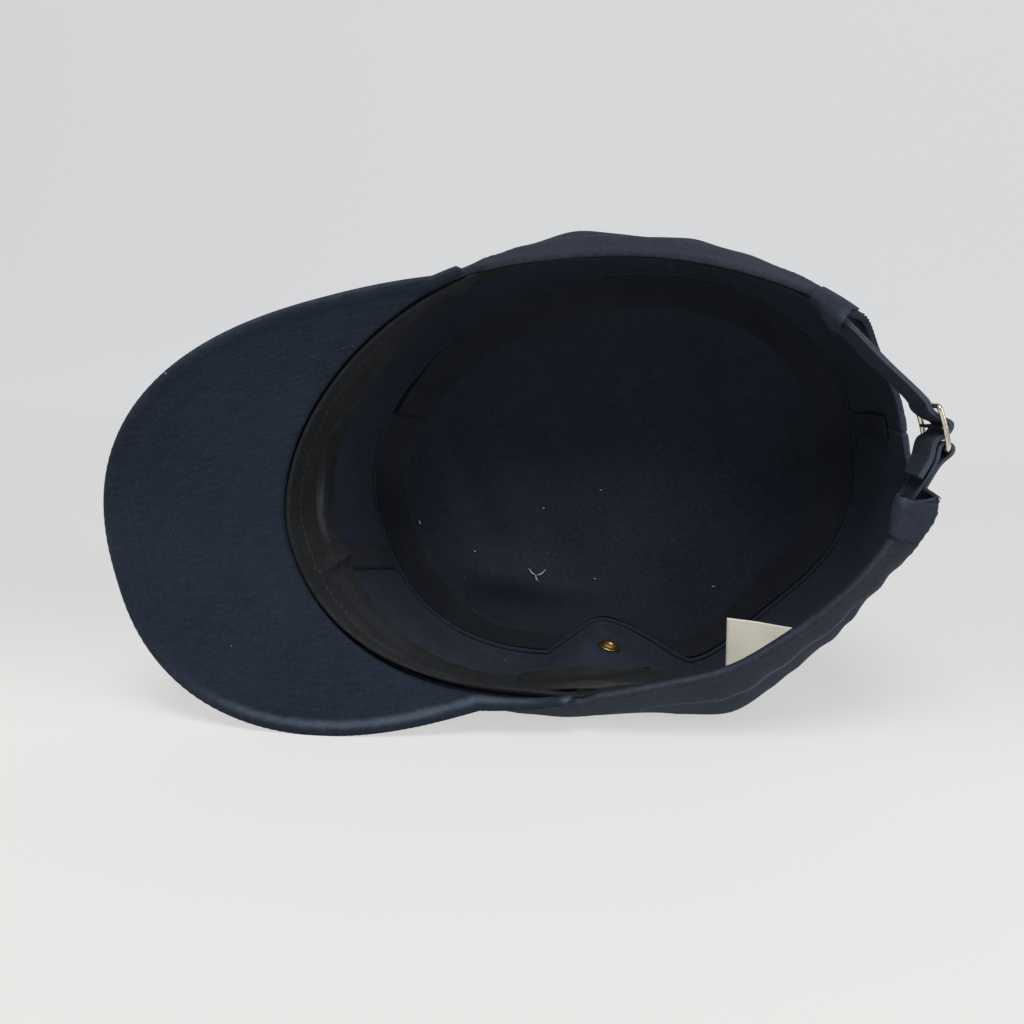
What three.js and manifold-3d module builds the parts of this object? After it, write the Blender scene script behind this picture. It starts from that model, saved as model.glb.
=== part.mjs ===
// Field cap of navy cotton twill, lying on its right side with the head opening towards -Y.
// Millimetres, +Z up. +X runs to the back of the cap and +Y from the rim to the top panel.
import * as THREE from 'three';
import { mergeVertices } from 'three/addons/utils/BufferGeometryUtils.js';
import Module from 'manifold-3d';

const wasm = await Module();
wasm.setup();
const { degToRad, lerp, smoothstep } = THREE.MathUtils;

// Cloth and seams
const cloth = 1.6;
const seamGap = 0.3;
const tapeThickness = 1;
const tapeWidth = 9;
const sweatbandThickness = 1.2;
const sweatbandWidth = 29;
const sweatbandEnd = 155;
const bandLip = 0.6;

// Crown
const crownDepth = 80;
const floorEase = 3;
const topDome = 4;
const ringTape = { inset: 2.6, width: 12.5 };
const arch = { halfAngle: 17.5, height: 41, squareness: 5, hem: 14 };
const seam = { front: -10, back: 184 };

// Outer outline of the crown wall at each depth behind the rim: centre, half lengths to the front, back,
// left and right of the cap, roll of its long axis in degrees, and how full the oval is on either side
const sections = [
  { depth: 0, z: 93, front: 107, back: 113, left: 77, right: 77, roll: 15, fullLeft: 1.82, fullRight: 2.12 },
  { depth: 14, z: 92, front: 108, back: 114, left: 79.4, right: 87, roll: 14, fullLeft: 1.8, fullRight: 2.12 },
  { depth: 38, z: 90, front: 107, back: 110, left: 79.6, right: 96, roll: 12, fullLeft: 1.82, fullRight: 2.16 },
  { depth: 66, z: 87, front: 104, back: 102, left: 76, right: 91, roll: 14, fullLeft: 1.95, fullRight: 2.22 },
  { depth: 76, z: 85, front: 101, back: 97, left: 74, right: 82, roll: 15, fullLeft: 2.02, fullRight: 2.4 },
  { depth: 80, z: 84, front: 99, back: 94, left: 73, right: 73, roll: 16, fullLeft: 2.05, fullRight: 2.5 },
];

// Buckled folds of the soft crown
const tent = { ridgeX: -3, frontRun: 21, backRun: 36, height: 13, startDepth: 16, crest: 0.16 };
const slumps = [
  { name: 'heel', x: 54, spread: 16, depth: 28, reach: 26, drop: 6 },
  { name: 'seam', x: 36, spread: 22, depth: 80, reach: 28, drop: 12 },
];
const corner = { angle: 199, spread: 10, start: 7, reach: 34, push: 8.2 };
const turnIn = { angle: 122, spread: 42, reach: 11, pull: 5 };
const sag = { x: -40, z: 37, halfLength: 34, spread: 9, height: 5 };

// Peak
const peak = {
  thickness: 3.4,
  edgeThickness: 2,
  edgeRound: 1.5,
  endAngle: 75.5,
  rimEase: 6,
  tuck: 0.8,
  endWidth: 3,
  endTaper: 0.3,
  archRadius: 150,
  slope: 12.6,
  outline: { p: -66, front: 102, back: 116, left: 78.2, right: 72.4, fullLeft: 2.3, fullRight: 2.2 },
  outlineEnd: 121.5,
};

// Back strap, its tab and the buckle
const strap = {
  width: 15,
  thickness: 1.6,
  depth: 3,
  lean: 20,
  sewn: 0.8,
  inset: 2.9,
  tail: 12,
  leadIn: 1.2,
  crossing: 3.3,
  ease: 0.4,
  bulge: 0.9,
};
const tab = { thickness: 1, plyGap: 0.4, inset: 2.7, drop: 4, shortEnd: 4, turn: 0.1, turnSpan: 5 };
const buckle = {
  length: 16.2,
  width: 20,
  bar: 1.8,
  middle: 1.4,
  corner: 2.5,
  innerCorner: 0.6,
  p: 118.3,
  q: -12.1,
};

// Eyelet and label
const eyelet = {
  angle: 283,
  depth: 68,
  bore: 2.4,
  barrel: 2.9,
  flange: 4.6,
  rim: 0.6,
  chamfer: 0.4,
  flatRadius: 8,
  flatEase: 4,
};
const label = { fromAngle: 251, toAngle: 235, depth: 31.6, thickness: 1, top: 38, slant: 2.5 };

// Fineness of the surfaces
const probe = { turn: 0.01, depth: 0.5 };
const weld = 1e-4;
const roundSides = 20;

const navy = { color: 0x252d39, roughness: 0.92, metalness: 0 };
const black = { color: 0x17191d, roughness: 0.85, metalness: 0 };
const cream = { color: 0xcac4b4, roughness: 0.8, metalness: 0 };
const nickel = { color: 0xcfc6b0, roughness: 0.25, metalness: 1 };
const brass = { color: 0xb08d55, roughness: 0.35, metalness: 1 };

const cap = new THREE.Group();

function addPiece(name, geometry, finish, parent = cap) {
  const piece = new THREE.Mesh(geometry, new THREE.MeshStandardMaterial(finish));
  piece.name = name;
  parent.add(piece);
  return piece;
}

// Oval sections, blended smoothly along the depth
const columns = ['z', 'front', 'back', 'left', 'right', 'roll', 'fullLeft', 'fullRight'];
const sectionCurve = new THREE.CubicInterpolant(
  sections.map((row) => row.depth),
  sections.flatMap((row) => columns.map((column) => row[column])),
  columns.length,
);
const rim = sections[0];
const topSeam = sections.at(-1);

function sectionAt(depth) {
  const values = sectionCurve.evaluate(depth);
  return Object.fromEntries(columns.map((column, i) => [column, values[i]]));
}

// Angles run from the front of the cap over its left side to the back.
function ovalRadius(angle, row) {
  const along = Math.cos(angle);
  const across = Math.sin(angle);
  const lengthPart = Math.abs(along) / (along > 0 ? row.front : row.back);
  const widthPart = Math.abs(across) / (across > 0 ? row.left : row.right);
  const full = across > 0 ? row.fullLeft : row.fullRight;
  return (lengthPart ** full + widthPart ** full) ** (-1 / full);
}

// From the cap's own plan, p to its back and q to its left, to where it lies
function lay(p, q, depth, row) {
  const roll = degToRad(row.roll);
  const x = p * Math.cos(roll) - q * Math.sin(roll);
  const z = row.z + p * Math.sin(roll) + q * Math.cos(roll);
  return new THREE.Vector3(x, depth, z);
}

// Cloth below the floor is rounded off onto it.
function settle(z) {
  if (z > floorEase) return z;
  if (z < -floorEase) return 0;
  return (z + floorEase) ** 2 / (4 * floorEase);
}

function tentRise(x, depth) {
  const run = x < tent.ridgeX ? tent.frontRun : tent.backRun;
  const side = Math.min(Math.abs(x - tent.ridgeX) / run, 1);
  const foot = Math.hypot(1, tent.crest);
  const profile = (foot - Math.hypot(side, tent.crest)) / (foot - tent.crest);
  const along = THREE.MathUtils.clamp((depth - tent.startDepth) / (crownDepth - tent.startDepth), 0, 1);
  return tent.height * profile * Math.sin(along * Math.PI / 2);
}

// Where the wall slumps down towards the floor
function slump(x, depth) {
  const drops = slumps.map((row) => {
    const aside = (x - row.x) / row.spread;
    const away = (depth - row.depth) / row.reach;
    return row.drop * Math.exp(-(aside ** 2) - away ** 2);
  });
  return drops.reduce((sum, drop) => sum + drop);
}

// Behind its hem the lower corner of the back arch is pushed out, and the upper rim turns in.
function rimShift(angle, depth) {
  const degrees = THREE.MathUtils.euclideanModulo(THREE.MathUtils.radToDeg(angle), 360);
  const fromCorner = (degrees - corner.angle) / corner.spread;
  const fromTurn = (degrees - turnIn.angle) / turnIn.spread;
  const behindHem = 1 - Math.exp(-((depth / corner.start) ** 2));
  const push = corner.push * behindHem * Math.exp(-(fromCorner ** 2) - (depth / corner.reach) ** 2);
  const pull = turnIn.pull * Math.exp(-(fromTurn ** 4) - (depth / turnIn.reach) ** 2);
  return push - pull;
}

function drape(angle, depth) {
  const row = sectionAt(depth);
  const radius = ovalRadius(angle, row) + rimShift(angle, depth);
  const point = lay(-radius * Math.cos(angle), radius * Math.sin(angle), depth, row);
  if (Math.sin(angle) > 0) return point;
  point.z = settle(point.z - slump(point.x, depth)) + tentRise(point.x, depth);
  return point;
}

function inwardAt(surface, angle, depth) {
  const around = surface(angle + probe.turn, depth).sub(surface(angle - probe.turn, depth));
  const upward = surface(angle, depth + probe.depth).sub(surface(angle, depth - probe.depth));
  return upward.cross(around).normalize();
}

// The clamped eyelet holds the cloth flat around it.
const eyeletSeat = drape(degToRad(eyelet.angle), eyelet.depth);
const eyeletAxis = inwardAt(drape, degToRad(eyelet.angle), eyelet.depth);

function wallPoint(angle, depth) {
  const point = drape(angle, depth);
  const reach = point.distanceTo(eyeletSeat);
  const hold = 1 - smoothstep(reach, eyelet.flatRadius, eyelet.flatRadius + eyelet.flatEase);
  const height = point.clone().sub(eyeletSeat).dot(eyeletAxis);
  return point.addScaledVector(eyeletAxis, -height * hold);
}

function wallLayer(angle, depth, inset) {
  return wallPoint(angle, depth).addScaledVector(inwardAt(wallPoint, angle, depth), inset);
}

// Angles in radians, evenly spread between stops of [degrees, steps to the next stop]
function spread(stops) {
  const angles = [];
  for (let i = 0; i + 1 < stops.length; i += 1) {
    const [from, steps] = stops[i];
    const [to] = stops[i + 1];
    for (let k = 0; k < steps; k += 1) angles.push(degToRad(lerp(from, to, k / steps)));
  }
  angles.push(degToRad(stops.at(-1)[0]));
  return angles;
}

function even(from, to, steps) {
  return Array.from({ length: steps + 1 }, (_, i) => lerp(from, to, i / steps));
}

// Closed body from loose triangle corners, with its faces turned outwards
function body(corners) {
  const loose = new THREE.BufferGeometry().setFromPoints(corners);
  const merged = mergeVertices(loose, weld);
  const position = merged.attributes.position;
  const index = [];
  let volume = 0;
  for (let i = 0; i < merged.index.count; i += 3) {
    const triangle = [0, 1, 2].map((k) => merged.index.getX(i + k));
    if (new Set(triangle).size < 3) continue;
    const [a, b, c] = triangle.map((k) => new THREE.Vector3().fromBufferAttribute(position, k));
    volume += a.dot(b.cross(c));
    index.push(triangle);
  }
  merged.setIndex(index.flatMap(([a, b, c]) => (volume > 0 ? [a, b, c] : [a, c, b])));
  return merged;
}

// Closed sheet between an outer and an inner face on one grid, or a closed ring of it
function sheet(us, vs, outer, inner, ring = false) {
  const far = us.map((u) => vs.map((v) => outer(u, v)));
  const near = us.map((u) => vs.map((v) => inner(u, v)));
  const corners = [];
  const quad = (a, b, c, d) => corners.push(a, b, c, a, c, d);
  const last = { u: us.length - 1, v: vs.length - 1 };
  const spans = ring ? us.length : last.u;
  for (let i = 0; i < spans; i += 1) {
    const n = (i + 1) % us.length;
    for (let j = 0; j < last.v; j += 1) {
      quad(far[i][j], far[n][j], far[n][j + 1], far[i][j + 1]);
      quad(near[i][j], near[i][j + 1], near[n][j + 1], near[n][j]);
    }
    quad(far[i][0], near[i][0], near[n][0], far[n][0]);
    quad(far[i][last.v], far[n][last.v], near[n][last.v], near[i][last.v]);
  }
  for (let j = 0; j < last.v && !ring; j += 1) {
    quad(far[0][j], far[0][j + 1], near[0][j + 1], near[0][j]);
    quad(far[last.u][j], near[last.u][j], near[last.u][j + 1], far[last.u][j + 1]);
  }
  return body(corners);
}

// Peak surface: a sloping cylinder that meets the rim at both ends of the peak
const peakEnd = degToRad(peak.endAngle);
const peakEndRadius = ovalRadius(peakEnd, rim);
const endP = -peakEndRadius * Math.cos(peakEnd);
const endQ = peakEndRadius * Math.sin(peakEnd);

function arched(q) {
  return Math.sqrt(peak.archRadius ** 2 - q ** 2);
}

function peakDepth(p, q) {
  return arched(q) - arched(endQ) - Math.tan(degToRad(peak.slope)) * (endP - p);
}

// Half of the peak's thickness, measured along the depth on the sloping surface
function peakHalf(q, thickness) {
  const steepness = Math.hypot(1, Math.tan(degToRad(peak.slope)), q / arched(q));
  return thickness / 2 * steepness;
}

const peakStop = peak.endAngle + 1;
const easeStop = peakStop + peak.rimEase;

// The rim sits on the peak at the front and rises over the arch at the back.
function rimDepth(angle) {
  const degrees = THREE.MathUtils.radToDeg(Math.atan2(Math.sin(angle), Math.cos(angle)));
  const fromFront = Math.abs(degrees);
  const fromBack = (180 - fromFront) / arch.halfAngle;
  if (fromBack < 1) return arch.height * (1 - fromBack ** arch.squareness);
  const held = Math.min(fromFront, peak.endAngle) * Math.sign(degrees);
  const radius = ovalRadius(degToRad(held), rim) - cloth;
  const q = radius * Math.sin(degToRad(held));
  const seat = peakDepth(-radius * Math.cos(degToRad(held)), q) + peakHalf(q, peak.thickness) + seamGap;
  return seat * (1 - smoothstep(fromFront, peakStop, easeStop));
}

// Every layer of the crown shares these angles: the seam tapes, the ends of the peak, the sweatband and the
// arch each have a stop of their own, and the steps are finest across the tent fold.
const tapeHalf = THREE.MathUtils.radToDeg(tapeWidth / 2 / rim.front);
const archStop = 180 - arch.halfAngle;
const foldStops = { from: 240, to: 300 };
const leftAngles = spread([
  [seam.front, 1], [seam.front + tapeHalf, 13], [peakStop, 2], [easeStop, 9],
  [sweatbandEnd, 1], [archStop, 8], [seam.back - tapeHalf, 1], [seam.back],
]);
const rightAngles = spread([
  [seam.back, 1], [seam.back + tapeHalf, 6], [360 - archStop, 1], [360 - sweatbandEnd, 5],
  [foldStops.from, 18], [foldStops.to, 9], [360 + seam.front - tapeHalf, 1], [360 + seam.front],
]);

// Crown wall, in two halves that meet at the centre-front and centre-back seams
const bandRows = [6, 14, 22, sweatbandWidth];
const upperRows = [38, 48, 58, eyelet.depth, 75];
const wallRows = [0, ...bandRows, ...upperRows, crownDepth - seamGap];

// Rows close up where the rim rises.
function rowDepth(angle, row) {
  return row + rimDepth(angle) * (1 - row / crownDepth);
}

function wallHalf(angles) {
  const halfGap = seamGap / 2 / rim.front;
  const ends = [angles[0] + halfGap, ...angles.slice(1, -1), angles.at(-1) - halfGap];
  const outer = (angle, row) => wallPoint(angle, rowDepth(angle, row));
  const inner = (angle, row) => wallLayer(angle, rowDepth(angle, row), cloth);
  return sheet(ends, wallRows, outer, inner);
}

function toManifold(geometry) {
  const vertProperties = new Float32Array(geometry.attributes.position.array);
  const triVerts = new Uint32Array(geometry.index.array);
  return new wasm.Manifold(new wasm.Mesh({ numProp: 3, vertProperties, triVerts }));
}

function fromManifold(solid) {
  const { vertProperties, triVerts } = solid.getMesh();
  const geometry = new THREE.BufferGeometry();
  geometry.setAttribute('position', new THREE.BufferAttribute(vertProperties, 3));
  geometry.setIndex(new THREE.BufferAttribute(triVerts, 1));
  return geometry;
}

const alongEyelet = new THREE.Quaternion().setFromUnitVectors(new THREE.Vector3(0, 1, 0), eyeletAxis);

function eyeletHole() {
  const radius = eyelet.barrel + seamGap;
  const drill = new THREE.CylinderGeometry(radius, radius, 2 * eyelet.flange, roundSides);
  drill.applyQuaternion(alongEyelet);
  drill.translate(eyeletSeat.x, eyeletSeat.y, eyeletSeat.z);
  drill.deleteAttribute('normal');
  drill.deleteAttribute('uv');
  return mergeVertices(drill, weld);
}

addPiece('wall_left', wallHalf(leftAngles), navy);
const rightWall = toManifold(wallHalf(rightAngles)).subtract(toManifold(eyeletHole()));
addPiece('wall_right', fromManifold(rightWall), navy);

// Top panel, domed a little, with the soft sag above the tent fold
// Rows 0 to 1 fill the panel inside its tape, row 2 is the tape's outer edge and row 3 the seam.
const topRows = [0, 0.35, 0.65, 0.85, 1, 2, 3];

function topPoint(angle, row, rise) {
  const point = new THREE.Vector3(0, crownDepth, topSeam.z);
  const edge = wallPoint(angle, crownDepth);
  const span = point.distanceTo(edge);
  const insets = { 2: ringTape.inset, 3: 0 };
  const inside = span - ringTape.inset - ringTape.width;
  const reach = (row > 1 ? span - insets[row] : row * inside) / span;
  point.lerp(edge, reach);
  const alongSag = 1 - smoothstep(Math.abs(point.x - sag.x), 0, sag.halfLength);
  const acrossSag = Math.exp(-(((point.z - sag.z) / sag.spread) ** 2));
  const bulge = topDome * (1 - reach ** 2) - sag.height * alongSag * acrossSag * (1 - reach ** 6);
  point.y = crownDepth + bulge + rise;
  return point;
}

const ringAngles = [...leftAngles, ...rightAngles.slice(1, -1)];
addPiece('crown_top', sheet(
  ringAngles,
  topRows,
  (angle, row) => topPoint(angle, row, cloth),
  (angle, row) => topPoint(angle, row, 0),
  true,
), navy);

addPiece('top_seam_tape', sheet(
  ringAngles,
  [1, 2],
  (angle, row) => topPoint(angle, row, -seamGap),
  (angle, row) => topPoint(angle, row, -seamGap - tapeThickness),
  true,
), black);

// Tapes that lie on the inside of the wall
function lining(angles, rows, depthAt, thickness) {
  const outer = (angle, row) => wallLayer(angle, depthAt(angle, row), cloth + seamGap);
  const inner = (angle, row) => wallLayer(angle, depthAt(angle, row), cloth + seamGap + thickness);
  return sheet(angles, rows, outer, inner);
}

// The sweatband binds the rim by a thin lip, and covers the inner edge of the peak at the front.
function bandDepth(angle, row) {
  const overlap = bandLip + peak.thickness * Math.max(Math.cos(angle), 0);
  return row < 0 ? rimDepth(angle) - overlap : rowDepth(angle, row);
}

const bandAngles = [...rightAngles.slice(1).map((angle) => angle - 2 * Math.PI), ...leftAngles.slice(1)]
  .filter((angle) => Math.abs(angle) < degToRad(sweatbandEnd + seamGap));
addPiece('sweatband', lining(bandAngles, [-1, 0, ...bandRows], bandDepth, sweatbandThickness), black);

function seamTape(angle, fromDepth) {
  const angles = spread([[angle - tapeHalf, 2], [angle + tapeHalf]]);
  return lining(angles, even(fromDepth, crownDepth - ringTape.inset, 6), (_, depth) => depth, tapeThickness);
}

const bandEdge = rowDepth(degToRad(seam.front), sweatbandWidth);
addPiece('front_seam_tape', seamTape(seam.front, bandEdge + 2 * seamGap), black);
addPiece('back_seam_tape', seamTape(seam.back, arch.height + arch.hem), black);

// Plan of the peak, from the inside of the wall at v = 0 out to its own outline at v = 1
function peakPlan(angle, v) {
  const { outline } = peak;
  const turn = angle * peak.outlineEnd / peak.endAngle;
  const reach = ovalRadius(turn, outline);
  const edge = new THREE.Vector2(outline.p - reach * Math.cos(turn), reach * Math.sin(turn));
  const outwards = new THREE.Vector2(-Math.cos(angle), Math.sin(angle));
  const seat = outwards.clone().multiplyScalar(ovalRadius(angle, rim) - peak.tuck);
  const width = edge.clone().sub(seat).dot(outwards);
  const fromEnd = peak.endAngle - THREE.MathUtils.radToDeg(Math.abs(angle));
  edge.addScaledVector(outwards, Math.max(peak.endWidth + peak.endTaper * fromEnd - width, 0));
  const full = 1 - peak.edgeRound / edge.distanceTo(seat);
  return seat.lerp(edge, v < 1 ? Math.min(v, full) : 1);
}

function peakPoint(angle, v, side) {
  const { x: p, y: q } = peakPlan(angle, v);
  const half = peakHalf(q, v < 1 ? peak.thickness : peak.edgeThickness);
  const point = lay(p, q, peakDepth(p, q) + side * half, rim);
  point.z = Math.max(point.z, 0);
  return point;
}

addPiece('peak', sheet(
  spread([[-peak.endAngle, 40], [peak.endAngle]]),
  [0, 0.25, 0.5, 0.75, 0.99, 1],
  (angle, v) => peakPoint(angle, v, 1),
  (angle, v) => peakPoint(angle, v, -1),
), navy);

// The strap, its tab and the buckle lean together, so that their far edges stand closer to the head.
const fastening = new THREE.Group();
fastening.position.copy(lay(buckle.p, 0, strap.depth, rim));
fastening.rotation.set(0, -degToRad(rim.roll), 0);
cap.add(fastening);
const strapLean = degToRad(strap.lean);
const unitAxes = [0, 1, 2].map((i) => new THREE.Vector3().setComponent(i, 1));

function rimPlan(degrees, depth, inset) {
  const angle = degToRad(degrees);
  const radius = ovalRadius(angle, rim) + rimShift(angle, depth) - inset;
  return new THREE.Vector2(-radius * Math.cos(angle), radius * Math.sin(angle));
}

// Ribbon of cloth along a plan path, as wide as the strap. Below the buckle it turns upright and goes deeper.
function ribbon(path, thickness, steps, fall) {
  const curve = new THREE.CatmullRomCurve3(path.map(({ x, y }) => new THREE.Vector3(x, y, 0)));
  const sides = [[], []];
  for (let i = 0; i <= steps; i += 1) {
    const point = curve.getPointAt(i / steps);
    const along = curve.getTangentAt(i / steps);
    const half = new THREE.Vector3(-along.y, along.x, 0).multiplyScalar(thickness / 2);
    sides[0].push(point.clone().add(half));
    sides[1].unshift(point.clone().sub(half));
  }
  const shape = new THREE.Shape([...sides[0], ...sides[1]]);
  const geometry = new THREE.ExtrudeGeometry(shape, { depth: strap.width, bevelEnabled: false });
  geometry.rotateX(Math.PI / 2);
  geometry.translate(-buckle.p, strap.width, 0);
  const [x, y, z] = unitAxes;
  const across = y.clone().applyAxisAngle(z, strapLean);
  geometry.applyMatrix4(new THREE.Matrix4().makeBasis(x, across, z));
  const corners = geometry.attributes.position;
  for (let i = 0; i < corners.count; i += 1) {
    const below = Math.max(loopFoot - corners.getZ(i), 0);
    const turn = tab.turn * Math.min(below / tab.turnSpan, 1);
    corners.setX(i, corners.getX(i) + turn * corners.getY(i));
    corners.setY(i, corners.getY(i) + fall * below);
  }
  return geometry;
}

// Plan point beside the buckle: outwards from its plane, and along it towards the tab
function atBuckle(outwards, along) {
  return new THREE.Vector2(buckle.p + outwards, buckle.q - along);
}

// The strap passes inside the upper bar and over the middle bar. Its end lies inside the tab, which loops
// round the lower bar.
const barOffset = (buckle.length - buckle.bar) / 2;
const strapLift = (buckle.bar + strap.thickness) / 2 + seamGap + strap.ease;
const middleLift = (buckle.middle + strap.thickness) / 2 + seamGap + strap.ease;
const loopRadius = buckle.bar / Math.SQRT2 + seamGap + tab.thickness / 2;
const tailLift = loopRadius + (tab.thickness + strap.thickness) / 2 + seamGap + strap.ease;
const rightEnd = 360 - archStop;
const loopCentre = atBuckle(0, barOffset);
const tabEnd = rimPlan(rightEnd, strap.depth + tab.drop, tab.inset);
const tabHeading = loopCentre.clone().sub(tabEnd).normalize();
const inside = new THREE.Vector2(-tabHeading.y, tabHeading.x);
const loopReach = loopRadius + tab.thickness / 2;
const loopFoot = loopCentre.y - loopReach;
const lowerWindow = (buckle.middle / 2 + barOffset - loopReach) / 2;
const plyHalf = (tab.thickness + tab.plyGap) / 2;
const plyLift = plyHalf + (tab.thickness + strap.thickness) / 2 + seamGap + strap.ease;
const strapStart = rimPlan(archStop, strap.depth, strap.inset);
const strapEntry = atBuckle(-strapLift, -barOffset - strap.leadIn);

// Plan point beside the tab: inwards from its middle, and along it from the lower bar
function besideTab(inwards, along) {
  return loopCentre.clone().addScaledVector(inside, inwards).addScaledVector(tabHeading, -along);
}

const strapPath = [
  rimPlan(archStop - strap.sewn, strap.depth, strap.inset),
  strapStart,
  strapStart.clone().lerp(strapEntry, 0.5),
  strapEntry,
  atBuckle(-strapLift, -barOffset + strap.ease),
  atBuckle(0, -strap.crossing),
  atBuckle(middleLift + strap.bulge, -strap.ease),
  atBuckle(strap.ease, lowerWindow + strap.ease / 2),
  besideTab(tailLift, -tab.thickness),
  besideTab(plyLift, 2 * loopReach),
  besideTab(plyLift, strap.tail),
];
addPiece('strap', ribbon(strapPath, strap.thickness, 60, 0), navy, fastening);

const tabLength = tabEnd.distanceTo(loopCentre);
const loopTurns = even(-Math.PI / 2, Math.PI / 2, 4).map((turn) => {
  const heading = tabHeading.clone().rotateAround(new THREE.Vector2(), -turn);
  return loopCentre.clone().addScaledVector(heading, loopRadius);
});
const tabPath = [
  rimPlan(rightEnd + strap.sewn, strap.depth + tab.drop, tab.inset + tab.thickness),
  besideTab(plyHalf, tabLength),
  besideTab(plyHalf, 2 * loopReach),
  ...loopTurns,
  besideTab(-plyHalf, 2 * loopReach),
  besideTab(-plyHalf, tabLength - tab.shortEnd),
];
const tabFall = tab.drop / (loopFoot - tabEnd.y);
addPiece('strap_tab', ribbon(tabPath, tab.thickness, 44, tabFall), navy, fastening);

// Slide buckle: a rounded frame with a middle bar
function roundedRectangle(path, left, bottom, width, height, corner) {
  path.moveTo(left + corner, bottom);
  path.lineTo(left + width - corner, bottom);
  path.absarc(left + width - corner, bottom + corner, corner, -Math.PI / 2, 0);
  path.lineTo(left + width, bottom + height - corner);
  path.absarc(left + width - corner, bottom + height - corner, corner, 0, Math.PI / 2);
  path.lineTo(left + corner, bottom + height);
  path.absarc(left + corner, bottom + height - corner, corner, Math.PI / 2, Math.PI);
  path.lineTo(left, bottom + corner);
  path.absarc(left + corner, bottom + corner, corner, Math.PI, 1.5 * Math.PI);
  return path;
}

function buckleFrame() {
  const { length, width, bar, middle, corner: outerCorner, innerCorner } = buckle;
  const frame = roundedRectangle(new THREE.Shape(), -width / 2, -length / 2, width, length, outerCorner);
  const windowLength = (length - middle) / 2 - bar;
  for (const bottom of [middle / 2, -middle / 2 - windowLength]) {
    const hole = new THREE.Path();
    roundedRectangle(hole, bar - width / 2, bottom, width - 2 * bar, windowLength, innerCorner);
    frame.holes.push(hole);
  }
  const geometry = new THREE.ExtrudeGeometry(frame, { depth: bar, bevelEnabled: false, curveSegments: 4 });
  geometry.translate(0, 0, -bar / 2);
  const [x, y, z] = unitAxes;
  geometry.applyMatrix4(new THREE.Matrix4().makeBasis(y, z, x));
  geometry.translate(0, strap.width / 2, 0);
  geometry.rotateZ(strapLean);
  geometry.translate(0, 0, buckle.q);
  return geometry;
}
addPiece('buckle', buckleFrame(), nickel, fastening);

// Eyelet: a barrel through the cloth with a flange on each face
function eyeletRing() {
  const { bore, barrel, flange, chamfer, rim: rimHeight } = eyelet;
  const foot = -seamGap;
  const head = cloth + seamGap;
  const profile = [
    [bore, foot - rimHeight], [flange, foot - rimHeight], [flange, foot], [barrel, foot],
    [barrel, head], [flange, head], [flange - chamfer, head + rimHeight], [bore + chamfer, head + rimHeight],
    [bore, head], [bore, foot - rimHeight],
  ];
  const geometry = new THREE.LatheGeometry(profile.map(([r, h]) => new THREE.Vector2(r, h)), roundSides);
  geometry.applyQuaternion(alongEyelet);
  geometry.translate(eyeletSeat.x, eyeletSeat.y, eyeletSeat.z);
  return geometry;
}
addPiece('eyelet', eyeletRing(), brass);

// Label, standing on the inside of the wall at the edge of the sweatband
function labelPoint(angle, v, side) {
  const foot = wallLayer(angle, label.depth, cloth + 2 * seamGap);
  const across = (degToRad(label.fromAngle) - angle) / degToRad(label.fromAngle - label.toAngle);
  const depth = label.depth + side * label.thickness / 2;
  return new THREE.Vector3(foot.x, depth, lerp(foot.z + 2 * seamGap, label.top - label.slant * across, v));
}

addPiece('label', sheet(
  spread([[label.fromAngle, 6], [label.toAngle]]),
  even(0, 1, 4),
  (angle, v) => labelPoint(angle, v, -1),
  (angle, v) => labelPoint(angle, v, 1),
), cream);

// The origin is under the middle of the cap, on the surface that it lies on.
const box = new THREE.Box3().setFromObject(cap, true);
const middle = box.getCenter(new THREE.Vector3());
cap.position.set(-middle.x, -middle.y, -box.min.z);

export default cap;
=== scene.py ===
import math

import bpy
import numpy as np
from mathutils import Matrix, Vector, noise


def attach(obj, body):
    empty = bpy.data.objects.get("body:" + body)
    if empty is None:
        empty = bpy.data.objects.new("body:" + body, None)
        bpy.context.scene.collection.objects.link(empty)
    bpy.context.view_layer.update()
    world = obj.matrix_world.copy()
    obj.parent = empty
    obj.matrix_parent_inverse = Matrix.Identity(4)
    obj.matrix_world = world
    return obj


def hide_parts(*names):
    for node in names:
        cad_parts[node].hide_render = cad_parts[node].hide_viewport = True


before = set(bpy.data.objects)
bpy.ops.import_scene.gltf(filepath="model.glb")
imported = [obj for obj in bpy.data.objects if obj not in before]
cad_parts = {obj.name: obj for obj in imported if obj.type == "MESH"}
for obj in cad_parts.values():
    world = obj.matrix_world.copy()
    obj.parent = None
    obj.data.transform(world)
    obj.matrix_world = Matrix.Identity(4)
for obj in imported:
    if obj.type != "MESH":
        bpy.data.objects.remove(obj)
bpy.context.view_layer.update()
mm = 0.001
shift = np.array([21.917, -32.359, 0.0])  # from the cap's own millimetres to the frame


def smooth(x, low, high):
    t = np.clip((np.asarray(x, float) - low) / (high - low), 0, 1)
    return t * t * (3 - 2 * t)


def bell(x, centre, width):
    return np.exp(-(((np.asarray(x, float) - centre) / width) ** 2))


def unit(v):
    return v / np.maximum(np.linalg.norm(v, axis=-1, keepdims=True), 1e-12)


def turnsOf(count):
    return np.linspace(0, 2 * np.pi, count, endpoint=False)


def heading(line):
    return unit(np.gradient(line, axis=0))


def grain(points, scale, seed=0.0):
    # smooth noise from -1 to 1 at points in millimetres
    flat = np.asarray(points, float).reshape(-1, 3) / scale + seed
    return np.array([noise.noise(Vector(p)) for p in flat]).reshape(np.shape(points)[:-1])


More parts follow.
